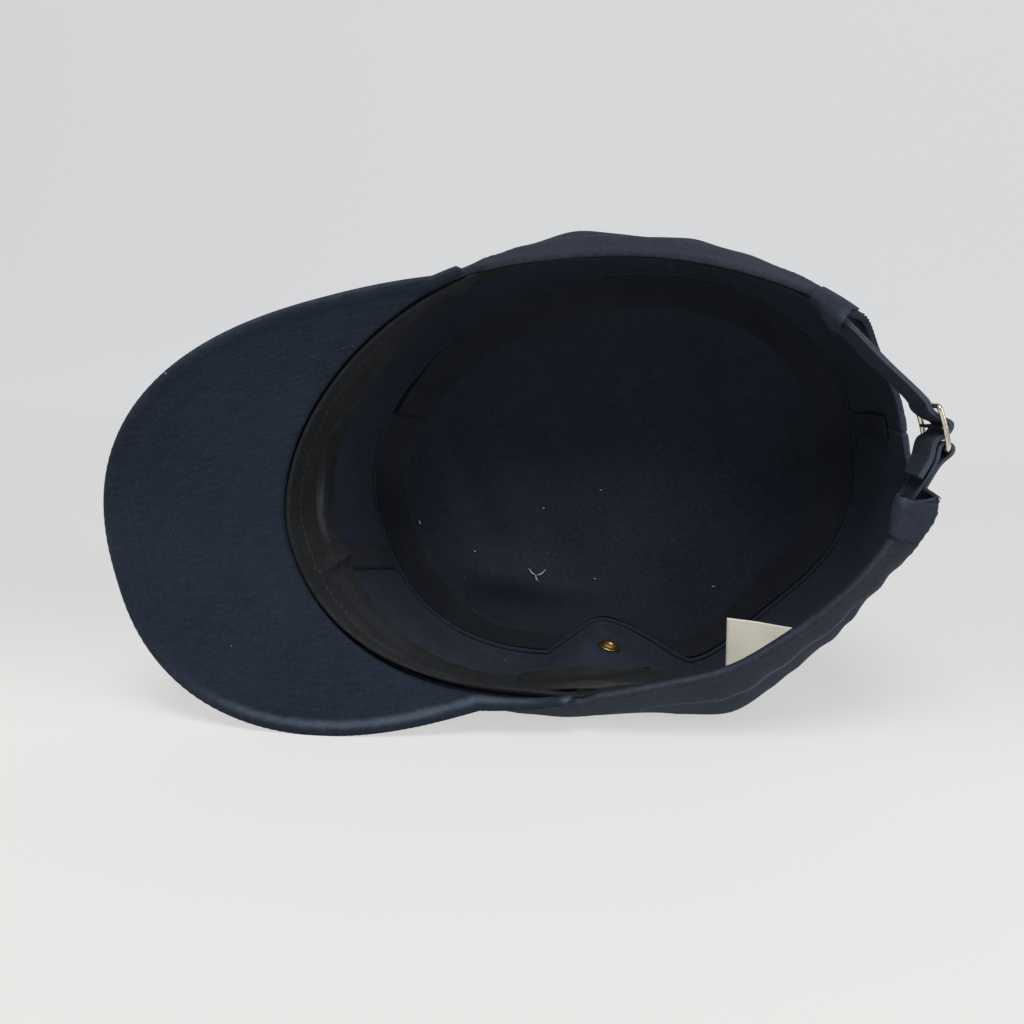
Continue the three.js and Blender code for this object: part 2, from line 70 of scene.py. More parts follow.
# Crown: the outline at each depth behind the rim, as it lies
crown = dict(
    cloth=1.6, depth=80, gap=0.3, floorEase=3, dome=4,
    rows=dict(
        depth=[0, 14, 38, 66, 76, 80],
        z=[93, 92, 90, 87, 85, 84],
        front=[107, 108, 107, 104, 101, 99],
        back=[113, 114, 110, 102, 97, 94],
        left=[77, 79.4, 79.6, 76, 74, 73],
        right=[77, 87, 96, 91, 82, 73],
        roll=[15, 14, 12, 14, 15, 16],
        fullLeft=[1.82, 1.8, 1.82, 1.95, 2.02, 2.05],
        fullRight=[2.12, 2.12, 2.16, 2.22, 2.4, 2.5],
    ),
    tent=dict(x=-3, frontRun=21, backRun=36, height=13, start=16, crest=0.16),
    slumps=[
        dict(x=54, spread=16, depth=28, reach=26, drop=6),
        dict(x=36, spread=22, depth=80, reach=28, drop=12),
    ],
    corner=dict(angle=199, spread=10, start=7, reach=34, push=8.2),
    turnIn=dict(angle=122, spread=42, reach=11, pull=5),
    sag=dict(x=-40, z=37, halfLength=34, spread=9, height=5),
    arch=dict(half=17.5, height=41, square=5, hem=14),
    seam=dict(front=-10.0, back=184.0),
)
peak = dict(
    thick=3.4, endAngle=75.5, ease=6, tuck=0.8, endWidth=3, endTaper=0.3,
    archRadius=150, slope=12.6, outlineEnd=121.5,
    outline=dict(p=-66, front=102, back=116, left=78.2, right=72.4, fullLeft=2.3, fullRight=2.2),
)
eyelet = dict(angle=283, depth=68, bore=2.4, barrel=2.9, flange=4.6, hole=2.5, turns=56, flat=8, ease=4)
columns = [c for c in crown["rows"] if c != "depth"]
tentX = crown["tent"]["x"]


def sectionAt(depth):
    # the same spline through the rows as the solids have
    depth = np.asarray(depth, float)
    t = np.array(crown["rows"]["depth"], float)
    i = np.clip(np.searchsorted(t, depth, side="right"), 1, len(t) - 1)
    first, last = i == 1, i == len(t) - 1
    t0, t1 = t[i - 1], t[i]
    before, after = np.where(first, i, i - 2), np.where(last, i - 1, np.minimum(i + 1, len(t) - 1))
    half = (t1 - t0) / 2
    wPrev = half / np.where(first, t0 - t1, t0 - t[before])
    wNext = half / np.where(last, t0 - t1, t[after] - t1)
    s = (depth - t0) / (t1 - t0)
    k = [
        -wPrev * s**3 + 2 * wPrev * s**2 - wPrev * s,
        (1 + wPrev) * s**3 + (-1.5 - 2 * wPrev) * s**2 + (-0.5 + wPrev) * s + 1,
        (-1 - wNext) * s**3 + (1.5 + wNext) * s**2 + 0.5 * s,
        wNext * s**3 - wNext * s**2,
    ]
    out = {}
    for c in columns:
        v = np.array(crown["rows"][c], float)
        out[c] = k[0] * v[before] + k[1] * v[i - 1] + k[2] * v[i] + k[3] * v[after]
    return out


rim = {c: crown["rows"][c][0] for c in columns}
lining = crown["cloth"] + crown["gap"]  # inset of what lies against the wall
topSeam = {c: crown["rows"][c][-1] for c in columns}


def ovalRadius(angle, row):
    along, across = np.cos(angle), np.sin(angle)
    lengthPart = np.abs(along) / np.where(along > 0, row["front"], row["back"])
    widthPart = np.abs(across) / np.where(across > 0, row["left"], row["right"])
    full = np.where(across > 0, row["fullLeft"], row["fullRight"])
    return (lengthPart**full + widthPart**full) ** (-1 / full)


def lay(p, q, depth, row):
    roll = np.radians(row["roll"])
    x = p * np.cos(roll) - q * np.sin(roll)
    z = row["z"] + p * np.sin(roll) + q * np.cos(roll)
    return np.stack(np.broadcast_arrays(x, depth, z), -1)


def settle(z):
    ease = crown["floorEase"]
    return np.where(z > ease, z, np.where(z < -ease, 0, (z + ease) ** 2 / (4 * ease)))


def tentRise(x, depth):
    tent = crown["tent"]
    run = np.where(x < tent["x"], tent["frontRun"], tent["backRun"])
    side = np.minimum(np.abs(x - tent["x"]) / run, 1)
    foot = math.hypot(1, tent["crest"])
    profile = (foot - np.hypot(side, tent["crest"])) / (foot - tent["crest"])
    along = np.clip((depth - tent["start"]) / (crown["depth"] - tent["start"]), 0, 1)
    return tent["height"] * profile * np.sin(along * np.pi / 2)


def rimShift(angle, depth):
    # behind its hem the lower corner of the arch is pushed out, and the upper rim turns in
    corner, turn = crown["corner"], crown["turnIn"]
    degrees = np.degrees(angle) % 360
    behindHem = (1 - bell(depth, 0, corner["start"])) * bell(depth, 0, corner["reach"])
    push = corner["push"] * bell(degrees, corner["angle"], corner["spread"]) * behindHem
    fromTurn = ((degrees - turn["angle"]) / turn["spread"]) ** 4
    return push - turn["pull"] * np.exp(-fromTurn) * bell(depth, 0, turn["reach"])


def drape(angle, depth):
    angle, depth = np.broadcast_arrays(np.asarray(angle, float), np.asarray(depth, float))
    row = sectionAt(depth)
    radius = ovalRadius(angle, row) + rimShift(angle, depth)
    point = lay(-radius * np.cos(angle), radius * np.sin(angle), depth, row)
    x, z = point[..., 0], point[..., 2]
    slump = 0
    for s in crown["slumps"]:
        slump = slump + s["drop"] * bell(x, s["x"], s["spread"]) * bell(depth, s["depth"], s["reach"])
    point[..., 2] = np.where(np.sin(angle) > 0, z, settle(z - slump) + tentRise(x, depth))
    return point


def inwardAt(surface, angle, depth):
    turn, step = 0.01, 0.5  # to both sides, in radians and millimetres
    around = surface(angle + turn, depth) - surface(angle - turn, depth)
    upward = surface(angle, depth + step) - surface(angle, depth - step)
    return unit(np.cross(upward, around))


eyeletAngle = math.radians(eyelet["angle"])
eyeletSeat = drape(eyeletAngle, eyelet["depth"])
eyeletAxis = inwardAt(drape, eyeletAngle, eyelet["depth"])


def wallPoint(angle, depth):
    point = drape(angle, depth)
    reach = np.linalg.norm(point - eyeletSeat, axis=-1)
    hold = 1 - smooth(reach, eyelet["flat"], eyelet["flat"] + eyelet["ease"])
    height = (point - eyeletSeat) @ eyeletAxis
    return point - eyeletAxis * (height * hold)[..., None]


def wallLayer(angle, depth, inset):
    inset = np.asarray(inset, float)
    return wallPoint(angle, depth) + inwardAt(wallPoint, angle, depth) * inset[..., None]


peakEnd = math.radians(peak["endAngle"])
endRadius = float(ovalRadius(peakEnd, rim))
endP, endQ = -endRadius * math.cos(peakEnd), endRadius * math.sin(peakEnd)


def peakDepth(p, q):
    arched = np.sqrt(peak["archRadius"] ** 2 - q**2) - math.sqrt(peak["archRadius"] ** 2 - endQ**2)
    return arched - math.tan(math.radians(peak["slope"])) * (endP - p)


def peakHalf(q, thick):
    bend = q / np.sqrt(peak["archRadius"] ** 2 - q**2)
    return thick / 2 * np.sqrt(1 + math.tan(math.radians(peak["slope"])) ** 2 + bend**2)


def rimDepth(angle):
    degrees = np.degrees(np.arctan2(np.sin(angle), np.cos(angle)))
    fromFront = np.abs(degrees)
    fromBack = (180 - fromFront) / crown["arch"]["half"]
    held = np.radians(np.minimum(fromFront, peak["endAngle"]) * np.sign(degrees))
    radius = ovalRadius(held, rim) - crown["cloth"]
    q = radius * np.sin(held)
    seat = peakDepth(-radius * np.cos(held), q) + peakHalf(q, peak["thick"]) + crown["gap"]
    front = seat * (1 - smooth(fromFront, peak["endAngle"] + 1, peak["endAngle"] + 1 + peak["ease"]))
    back = crown["arch"]["height"] * (1 - np.minimum(fromBack, 1) ** crown["arch"]["square"])
    return np.where(fromBack < 1, back, front)


def rowDepth(angle, row):
    return row + rimDepth(angle) * (1 - row / crown["depth"])


def topPoint(angle, reach):
    # reach goes from 0 in the middle of the panel to 1 at its seam
    middle = np.array([0, crown["depth"], topSeam["z"]], float)
    edge = wallPoint(angle, crown["depth"])
    point = middle + (edge - middle) * reach[..., None]
    sag = crown["sag"]
    alongSag = 1 - smooth(np.abs(point[..., 0] - sag["x"]), 0, sag["halfLength"])
    dent = sag["height"] * alongSag * bell(point[..., 2], sag["z"], sag["spread"]) * (1 - reach**6)
    point[..., 1] = crown["depth"] + (crown["dome"] * (1 - reach**2) - dent)
    return point


def panelSpan(angle):
    # from the middle of the panel to its seam
    edge, middle = (topPoint(angle, np.full(angle.shape, reach)) for reach in (1.0, 0.0))
    return np.linalg.norm(edge - middle, axis=-1)


def peakPlan(angle, v):
    o = peak["outline"]
    turn = angle * peak["outlineEnd"] / peak["endAngle"]
    reach = ovalRadius(turn, o)
    edge = np.stack([o["p"] - reach * np.cos(turn), reach * np.sin(turn)], -1)
    outwards = np.stack([-np.cos(angle), np.sin(angle)], -1)
    seat = outwards * (ovalRadius(angle, rim) - peak["tuck"])[..., None]
    width = ((edge - seat) * outwards).sum(-1)
    fromEnd = peak["endAngle"] - np.degrees(np.abs(angle))
    edge = edge + outwards * np.maximum(peak["endWidth"] + peak["endTaper"] * fromEnd - width, 0)[..., None]
    return seat + (edge - seat) * np.asarray(v, float)[..., None]


def peakPoint(plan, lift):
    # lift is from the middle of the peak's thickness, towards the crown, and a half of 2 mm scales it
    p, q = plan[..., 0], plan[..., 1]
    point = lay(p, q, peakDepth(p, q) + peakHalf(q, 2.0) * lift, rim)
    point[..., 2] = np.maximum(point[..., 2], 0)
    return point


# Meshes
def addObject(name, data):
    made = bpy.data.objects.new(name, data)
    bpy.context.scene.collection.objects.link(made)
    return made


def addPiece(name, points, faces, weave, wear=None):
    mesh = bpy.data.meshes.new(name)
    mesh.from_pydata(((np.asarray(points, float).reshape(-1, 3) + shift) * mm).tolist(), [], faces)
    mesh.shade_smooth()
    layer = mesh.uv_layers.new(name="weave")
    corner = np.zeros(len(mesh.loops), np.int32)
    mesh.loops.foreach_get("vertex_index", corner)
    layer.data.foreach_set("uv", np.asarray(weave, np.float32).reshape(-1, 2)[corner].ravel())
    if wear is not None:
        mark = mesh.attributes.new("wear", "FLOAT", "POINT")
        mark.data.foreach_set("value", np.asarray(wear, np.float32).ravel())
    mesh.validate()
    return addObject(name, mesh)


def sheetFaces(nu, nv, ring=False):
    # two faces of points and the edges between them, open at the ends or closed to a ring
    near = nu * nv
    faces = []

    def closeEdge(a, b, flip):
        faces.append((a, b, near + b, near + a) if flip else (a, near + a, near + b, b))

    for i in range(nu if ring else nu - 1):
        n = (i + 1) % nu
        for j in range(nv - 1):
            a, b, c, d = i * nv + j, n * nv + j, n * nv + j + 1, i * nv + j + 1
            faces.append((a, b, c, d))
            faces.append((near + a, near + d, near + c, near + b))
        for j in (0, nv - 1):
            closeEdge(i * nv + j, n * nv + j, j > 0)
    for i in () if ring else (0, nu - 1):
        for j in range(nv - 1):
            closeEdge(i * nv + j, i * nv + j + 1, i == 0)
    return faces


def clothSheet(name, outer, inner, weave, wear):
    points, faces = np.stack([outer, inner]), sheetFaces(*outer.shape[:2])
    return addPiece(name, points, faces, np.stack([weave, weave]), np.stack([wear, wear]))


def tubeFaces(rings, sides, first=0, closed=False):
    # the faces between rings of points, with a cap at both ends unless the last ring meets the first
    faces = []
    for i in range(rings if closed else rings - 1):
        near, far = first + i * sides, first + (i + 1) % rings * sides
        for m in range(sides):
            n = (m + 1) % sides
            faces.append((near + m, near + n, far + n, far + m))
    if not closed:
        faces.append(tuple(range(first, first + sides))[::-1])
        faces.append(tuple(range(first + (rings - 1) * sides, first + rings * sides)))
    return faces


def ringsAlong(line, along, up, radius, sides):
    aside = unit(np.cross(along, up))
    lift = np.cross(aside, along)
    turn = turnsOf(sides)[None, :, None]
    size = np.broadcast_to(np.asarray(radius, float), (len(line),))[:, None, None]
    return line[:, None] + (aside[:, None] * np.cos(turn) + lift[:, None] * np.sin(turn)) * size


def rounded(row, radius):
    # how far each face draws in towards the middle of the cloth at a rounded edge
    t = np.clip(np.asarray(row, float) / radius, 0, 1)
    return radius * (1 - np.sqrt(1 - (1 - t) ** 2))


def runAlong(points, power=1.0):
    return np.concatenate([[0], np.cumsum(np.linalg.norm(np.diff(points, axis=0), axis=1) ** power)])


def spaced(points, step):
    # evenly spaced points along a line, with the place of each in the old line
    run = runAlong(points)
    at = np.linspace(0, run[-1], max(int(run[-1] / step), 2))
    old = np.interp(at, run, np.arange(len(points)))
    return np.stack([np.interp(at, run, points[:, k]) for k in range(3)], -1), old


# One stitch, from end to end: place along it, thickness, height; and how much wider than high it is
stitchShape = [(-0.5, 0.25, -0.25), (-0.32, 0.85, 0.1), (0, 1.0, 0.25), (0.32, 0.85, 0.1), (0.5, 0.25, -0.25)]
stitchFlat = 1.25


def stitchPiece(name, rows, radius, pitch=3.0, share=0.68, sides=6):
    # short raised threads along lines, sunk at both ends
    points, faces = [], []
    for line, up in rows:
        centre, old = spaced(line, pitch)
        ups = unit(np.stack([np.interp(old, np.arange(len(up)), up[:, k]) for k in range(3)], -1))
        along = heading(centre)
        for c, a, s, u in zip(centre, along, unit(np.cross(along, ups)), ups):
            faces += tubeFaces(len(stitchShape), sides, len(points))
            for t, fat, high in stitchShape:
                middle = c + a * (t * pitch * share) + u * (high * radius)
                for w in turnsOf(sides):
                    points.append(middle + (s * math.cos(w) * stitchFlat + u * math.sin(w)) * radius * fat)
    return addPiece(name, points, faces, np.asarray(points)[:, :2])


def roll(name, line, up, radius, taper=0.0, wear=0.0, sides=10):
    # a round roll of cloth along a line
    ends = np.minimum(np.arange(len(line)), np.arange(len(line))[::-1])
    size = np.asarray(radius) * (1 - taper * (1 - smooth(ends, 0, 12)))
    points = ringsAlong(line, heading(line), unit(up), size, sides)
    weave = np.stack(np.broadcast_arrays(runAlong(line)[:, None], turnsOf(sides) * np.mean(radius)), -1)
    wear = np.broadcast_to(np.asarray(wear, float).reshape(-1, 1), points.shape[:2])
    return addPiece(name, points, tubeFaces(len(line), sides), weave, wear)


def threadEnds(name, lines, up, radius, sides=6):
    # short ends of thread in one piece, thinner at their tips
    points, faces = [], []
    for line in lines:
        line = np.asarray(line, float)
        size = np.full(len(line), radius)
        size[[0, -1]] *= 0.45
        faces += tubeFaces(len(line), sides, len(points))
        points += list(ringsAlong(line, heading(line), up, size, sides).reshape(-1, 3))
    return addPiece(name, points, faces, np.asarray(points)[:, ::2])


def place(piece, finish, slot, *nodes):
    piece.data.materials.clear()
    piece.data.materials.append(finish)
    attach(piece, "root")
    if nodes:
        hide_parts(*nodes)


# Finishes
class Sock:
    # a shader value that takes part in Python sums
    def __init__(self, finish, out):
        self.finish, self.out = finish, out

    def sum(self, how, a, b):
        return self.finish.node("ShaderNodeMath", {"operation": how}, {0: a, 1: b})

    def __add__(self, b): return self.sum("ADD", self, b)
    def __radd__(self, b): return self.sum("ADD", b, self)
    def __sub__(self, b): return self.sum("SUBTRACT", self, b)
    def __rsub__(self, b): return self.sum("SUBTRACT", b, self)
    def __mul__(self, b): return self.sum("MULTIPLY", self, b)
    def __rmul__(self, b): return self.sum("MULTIPLY", b, self)
    def __truediv__(self, b): return self.sum("DIVIDE", self, b)
    def __rtruediv__(self, b): return self.sum("DIVIDE", b, self)


class Finish:
    def __init__(self, name):
        self.material = bpy.data.materials.new(name)
        self.material.use_nodes = True
        self.tree = self.material.node_tree
        self.shader = self.tree.nodes["Principled BSDF"]

    def node(self, kind, settings=None, inputs=None, out=0):
        made = self.tree.nodes.new(kind)
        for key, value in (settings or {}).items():
            setattr(made, key, value)
        for key, value in (inputs or {}).items():
            self.feed(made.inputs[key], value)
        return Sock(self, made.outputs[out])

    def feed(self, socket, value):
        if isinstance(value, Sock):
            self.tree.links.new(value.out, socket)
        elif isinstance(value, (tuple, list)):
            colour = len(socket.default_value) == 4 and len(value) == 3
            socket.default_value = (*value, 1) if colour else value
        else:
            socket.default_value = value

    def set(self, **sockets):
        for key, value in sockets.items():
            self.feed(self.shader.inputs[key.replace("_", " ")], value)

    def wave(self, value):
        # 0 to 1 and back, once for each whole number
        turn = self.node("ShaderNodeMath", {"operation": "SINE"}, {0: value * (2 * math.pi)})
        return turn * 0.5 + 0.5

    def clamp(self, value, low, high):
        span = {"Value": value, "From Min": low, "From Max": high}
        return self.node("ShaderNodeMapRange", {"interpolation_type": "SMOOTHSTEP"}, span)

    def split(self, vector):
        made = self.node("ShaderNodeSeparateXYZ", {}, {0: vector}).out.node
        return [Sock(self, out) for out in made.outputs]

    def across(self):
        # the two directions of the weave, in millimetres
        return self.split(self.node("ShaderNodeUVMap", {"uv_map": "weave"}))[:2]

    def bump(self, strength, distance, height):
        inputs = {"Strength": strength, "Distance": distance, "Height": height}
        self.set(Normal=self.node("ShaderNodeBump", {}, inputs))

    def mix(self, share, a, b):
        return self.node("ShaderNodeMix", {"data_type": "RGBA"}, {0: share, 6: a, 7: b}, 2)

    def mottle(self, scale, detail=3.0, rough=0.55):
        at = self.node("ShaderNodeTexCoord", out="Object")
        inputs = {"Vector": at, "Scale": scale, "Detail": detail, "Roughness": rough}
        return self.node("ShaderNodeTexNoise", {}, inputs)

    def mark(self, name):
        return self.node("ShaderNodeAttribute", {"attribute_name": name}, out="Fac")


def twill(name, look):
    # cotton twill: slanting ribs, soft fading, worn edges and lint
    f = Finish(name)
    u, v = f.across()
    rib = f.wave((u + v * look["slant"]) / look["rib"])
    yarn = f.wave((u * 0.35 - v) / look["yarn"])
    weave = rib * (0.55 + 0.45 * yarn)
    soft = f.mottle(look["fadeScale"])
    fine = f.mottle(look["fineScale"], 2.0)
    cloud = f.clamp(soft, 0.34, 0.7)
    colour = f.mix(cloud, look["deep"], look["faded"])
    run = f.node("ShaderNodeCombineXYZ", {}, {0: u * 0.1, 1: v * 1.7})
    streak = f.node("ShaderNodeTexNoise", {}, {"Vector": run, "Scale": 1.0, "Detail": 2.0})
    colour = f.mix(f.clamp(streak, 0.35, 0.75) * look["streak"], colour, look["ridge"])
    pile = f.clamp(f.mottle(look["pileScale"], 1.0), 0.36, 0.7)
    colour = f.mix(pile * look["pile"], colour, look["ridge"])
    colour = f.mix(weave * 0.2, colour, look["ridge"])
    wear = f.clamp(f.mark("wear") * (0.45 + soft) + (fine - 0.5) * 0.35, 0.12, 0.95)
    colour = f.mix(wear * look["wear"], colour, look["worn"])
    at = f.node("ShaderNodeTexCoord", out="Object")
    cells = {"Vector": at, "Scale": look["lintScale"], "Randomness": 1.0}
    specks = f.node("ShaderNodeTexVoronoi", {"distance": "EUCLIDEAN"}, cells)
    dots = 1 - f.clamp(specks, look["lintSize"], look["lintSize"] * 1.8)
    rare = f.clamp(f.mottle(look["rareScale"], 1.0), 0.6, 0.68)
    colour = f.mix(dots * rare * look["lintShare"], colour, look["lint"])
    f.set(Base_Color=colour, Roughness=0.9 - 0.1 * weave - 0.06 * cloud, Specular_IOR_Level=0.08)
    f.set(Sheen_Weight=look["sheen"], Sheen_Roughness=0.45, Sheen_Tint=look["sheenTint"])
    f.bump(look["bump"], look["height"], weave + fine * 0.8)
    return f.material


navy = dict(
    rib=0.95, yarn=0.8, slant=1.0, fadeScale=26.0, fineScale=420.0, pileScale=700.0, bump=0.5, height=0.00016,
    streak=0.06, pile=0.2, wear=0.75,
    deep=(0.0165, 0.0205, 0.0315), faded=(0.0215, 0.0262, 0.039), ridge=(0.05, 0.06, 0.085), worn=(0.085, 0.105, 0.14),
    sheen=0.04, sheenTint=(0.55, 0.66, 0.85), lint=(0.42, 0.43, 0.43), lintScale=150.0, lintSize=0.035,
    rareScale=61.0, lintShare=0.55,
)
crownTwill = twill("crownTwill", navy)
# painted shade: the peak is the crown's navy twill, coloured darker to stand for the shade on its face
peakTwill = twill("peakTwill", dict(
    navy, fadeScale=19.0, streak=0.17, pile=0.12,
    deep=(0.0075, 0.0122, 0.021), faded=(0.0102, 0.016, 0.0262), ridge=(0.034, 0.046, 0.068),
))
strapTwill = twill("strapTwill", dict(navy, deep=(0.017, 0.024, 0.036), rib=0.85, lintScale=90.0))
blackTape = dict(
    navy, rib=0.7, yarn=0.7, slant=0.2, fadeScale=34.0, height=0.00012, sheen=0.03, sheenTint=(0.8, 0.8, 0.8),
    deep=(0.0095, 0.0105, 0.0122), faded=(0.0165, 0.0175, 0.02), ridge=(0.031, 0.032, 0.035), worn=(0.068, 0.07, 0.074),
)
bandTape = twill("bandTape", blackTape)
seamTape = twill("seamTape", dict(
    blackTape, deep=(0.0145, 0.0165, 0.0215), faded=(0.0232, 0.0265, 0.034), ridge=(0.034, 0.038, 0.046),
))


threadLook = dict(scale=1900.0, bump=0.4, height=0.0001)


def thread(name, colour, dark):
    f = Finish(name)
    at = f.node("ShaderNodeTexCoord", out="Object")
    twist = f.node("ShaderNodeTexNoise", {}, {"Vector": at, "Scale": threadLook["scale"], "Detail": 2.0})
    f.set(Base_Color=f.mix(twist, dark, colour), Roughness=0.72 + 0.15 * twist, Sheen_Weight=0.1)
    f.bump(threadLook["bump"], threadLook["height"], twist)
    return f.material


navyThread = thread("navyThread", (0.018, 0.024, 0.035), (0.012, 0.016, 0.024))
# painted shade: the peak's thread is darker in the same way as the peak's twill
peakThread = thread("peakThread", (0.0078, 0.0132, 0.0195), (0.0062, 0.0103, 0.0155))
paleThread = thread("paleThread", (0.019, 0.0195, 0.02), (0.013, 0.0135, 0.014))
lintThread = thread("lintThread", (0.62, 0.62, 0.6), (0.36, 0.36, 0.35))


metalLook = dict(smearScale=260.0, fineScale=1400.0, bump=0.12, height=0.0001)


def plainMetal(name, colour, dull, rough, grime):
    f = Finish(name)
    smear = f.mottle(metalLook["smearScale"], 4.0, 0.6)
    fine = f.mottle(metalLook["fineScale"], 2.0)
    f.set(Base_Color=f.mix(f.clamp(smear, 0.45, 0.8) * grime, colour, dull), Metallic=1.0)
    f.set(Roughness=rough + 0.22 * smear * fine)
    f.bump(metalLook["bump"], metalLook["height"], fine)
    return f.material


buckleNickel = plainMetal("buckleNickel", (0.72, 0.66, 0.53), (0.36, 0.31, 0.22), 0.16, 0.6)
eyeletBrass = plainMetal("eyeletBrass", (0.55, 0.38, 0.15), (0.2, 0.13, 0.06), 0.3, 0.9)


labelLook = dict(
    warp=0.42, weft=0.36, cloudScale=70.0, bump=0.35, height=0.0001,
    cream=(0.9, 0.85, 0.73), light=(0.94, 0.9, 0.8), worn=(0.42, 0.38, 0.3), yarn=(0.87, 0.84, 0.74),
)


def labelFinish(look):
    f = Finish("labelCloth")
    u, v = f.across()
    weave = f.wave(u / look["warp"]) * 0.5 + f.wave(v / look["weft"]) * 0.5
    cloud = f.clamp(f.mottle(look["cloudScale"]), 0.35, 0.75)
    colour = f.mix(cloud, look["cream"], look["light"])
    colour = f.mix(f.mark("wear") * 0.5, colour, look["worn"])
    colour = f.mix(weave * 0.15, colour, look["yarn"])
    f.set(Base_Color=colour, Roughness=0.78 - 0.1 * weave, Sheen_Weight=0.08)
    f.bump(look["bump"], look["height"], weave)
    return f.material


labelCloth = labelFinish(labelLook)
print("finishes ready")

# Crown wall in two halves, with a turned hem round the rim and the arch
wall = dict(
    step=0.8, rowStep=1.5, edge=0.8, hem=14.0, hemLine=12.5, hemRaise=0.55, slack=0.7, crest=1.6, crestRow=66.0,
    pucker=0.12, puckerLength=2.1, puckerReach=4.2, puckerMore=2.6, lineDip=0.3, seamDip=0.35, seamRidge=0.25,
    topRidge=0.3, foldSlant=0.12, arc=95.0, weaveArc=98.0, wornAngle=226.0,
    wear=dict(upperRim=0.1, lowerRim=0.4, hem=0.4, hemMore=0.6, top=0.35, inside=0.4),
    stitch=dict(radius=0.2, lift=0.05, edgeRow=2.4, archRow=8.5, topRow=76.2, besideSeam=1.8),
)
hemFolds = [  # soft folds that fall from the hem: angle, spread, height, how far they run
    (208, 1.7, 0.7, 20), (213.5, 1.8, 0.8, 26), (218, 1.4, -0.5, 20), (221.5, 1.8, 0.7, 24),
    (227, 2.0, 0.8, 30), (231.5, 1.5, -0.5, 22), (235.5, 1.8, 0.6, 24), (241, 2.0, 0.5, 24),
    (101, 7.5, 1.9, 46), (117, 3.5, -0.6, 30), (128, 4.0, 0.8, 34), (140, 3.5, 0.6, 30),
]


def wallOffset(angle, row, point):
    # how far the cloth stands in or out of the plain shape; outwards is positive
    degrees = np.degrees(angle) % 360
    arc = angle * wall["arc"]
    hem, line = wall["hem"], wall["hemLine"]
    gather = np.sin(arc / wall["puckerLength"] + 2.2 * np.sin(arc / 17)) * bell(row, line, wall["puckerReach"])
    gather = gather * (1 + wall["puckerMore"] * bell(degrees, wall["wornAngle"], 22))
    out = wall["pucker"] * gather - wall["lineDip"] * bell(row, line, 0.7)
    for at, spread, height, run in hemFolds:
        fade = smooth(row, hem - 3, hem + 7) * (1 - smooth(row, hem + run * 0.5, hem + run))
        out = out + height * bell(degrees + (row - 20) * wall["foldSlant"], at, spread) * fade
    slack = grain(point, 34.0, 3.1) * 0.7 + grain(point, 13.0, 8.4) * 0.3
    out = out + wall["slack"] * slack * smooth(row, 10, 22) * (1 - smooth(row, 70, 79))
    seam = np.minimum(*(np.abs((degrees - at + 180) % 360 - 180) for at in crown["seam"].values())) * 1.75
    out = out - wall["seamDip"] * bell(seam, 0, 0.9) + wall["seamRidge"] * bell(seam, 3.0, 2.2)
    crest = bell(point[..., 0], tentX + 1, 9) * bell(row, wall["crestRow"], 12) * smooth(-np.sin(angle), 0.5, 0.9)
    out = out + wall["topRidge"] * bell(row, 78.6, 1.2) - wall["crest"] * crest
    return out * smooth(np.linalg.norm(point - eyeletSeat, axis=-1), 5.5, 11)  # flat round the eyelet


def wallRowsFine():
    near = [0, 0.08, 0.2, 0.4, 0.8, 1.6]
    return np.array(near + list(np.arange(3, 78.5, wall["rowStep"])) + [78.4, 79.2, 79.7])


def hemLift(row):
    return wall["hemRaise"] * (1 - smooth(row, wall["hem"] - 1.2, wall["hem"] + 0.6))


def wallShape(angle, row):
    # the plain wall, its inward direction, the cloth's offset, and 0 to 1 for how clear of the floor it is
    depth = rowDepth(angle, row)
    plain = wallPoint(angle, depth)
    inward = inwardAt(wallPoint, angle, depth)
    offset = wallOffset(angle, row, plain)
    return plain, inward, offset, smooth(plain[..., 2] - offset * inward[..., 2], 0.0, 2.5)


def wallHalf(name, start, end, node):
    halfGap = 0.01 / rim["front"]
    steps = int((end - start) / wall["step"])
    angles = np.linspace(math.radians(start) + halfGap, math.radians(end) - halfGap, steps)
    angle, row = np.meshgrid(angles, wallRowsFine(), indexing="ij")
    plain, inward, offset, clear = wallShape(angle, row)
    offset = offset * np.where(np.sin(angle) < 0, clear, 1)
    edge = rounded(row, wall["edge"])
    outer = plain - inward * (offset + hemLift(row) * clear - edge)[..., None]
    inner = plain + inward * (crown["cloth"] - np.minimum(offset, 0.2) * smooth(row, 30, 36) - edge)[..., None]
    outer[..., 2], inner[..., 2] = np.maximum(outer[..., 2], 0), np.maximum(inner[..., 2], 0.4)
    worn = wall["wear"]
    wear = bell(row, 0, 1.2) * np.where(np.sin(angle) > 0, worn["upperRim"], worn["lowerRim"])
    hemWear = worn["hem"] + worn["hemMore"] * bell(np.degrees(angle) % 360, wall["wornAngle"], 24)
    wear = wear + hemWear * bell(row, wall["hem"], 1.4) + worn["top"] * bell(row, 79.5, 1.2)
    weave = np.stack([angle * wall["weaveArc"], row], -1)
    faces = sheetFaces(*angle.shape)
    points = np.stack([outer, inner])
    if node == "wall_right":  # the eyelet's hole, closed round its cut edge
        away = points.reshape(-1, 3) - eyeletSeat
        aside = np.linalg.norm(away - np.outer(away @ eyeletAxis, eyeletAxis), axis=1).reshape(2, -1).min(axis=0)
        cut = {f for f in faces if min(aside[k % angle.size] for k in f) <= eyelet["hole"]}
        sides = {side for f in cut for side in zip(f, f[1:] + f[:1])}
        rimSides = [(a, b) for a, b in sorted(sides) if (b, a) not in sides and max(a, b) < angle.size]
        faces = [f for f in faces if f not in cut]
        faces += [(a, b, b + angle.size, a + angle.size) for a, b in rimSides]
    piece = addPiece(name, points, faces, np.stack([weave, weave]), np.stack([wear, wear * worn["inside"]]))
    place(piece, crownTwill, "crown_twill", node)


seamFront, seamBack = crown["seam"]["front"], crown["seam"]["back"]
wallHalf("wallLeft", seamFront, seamBack, "wall_left")
wallHalf("wallRight", seamBack, seamFront + 360, "wall_right")
print("crown wall ready")


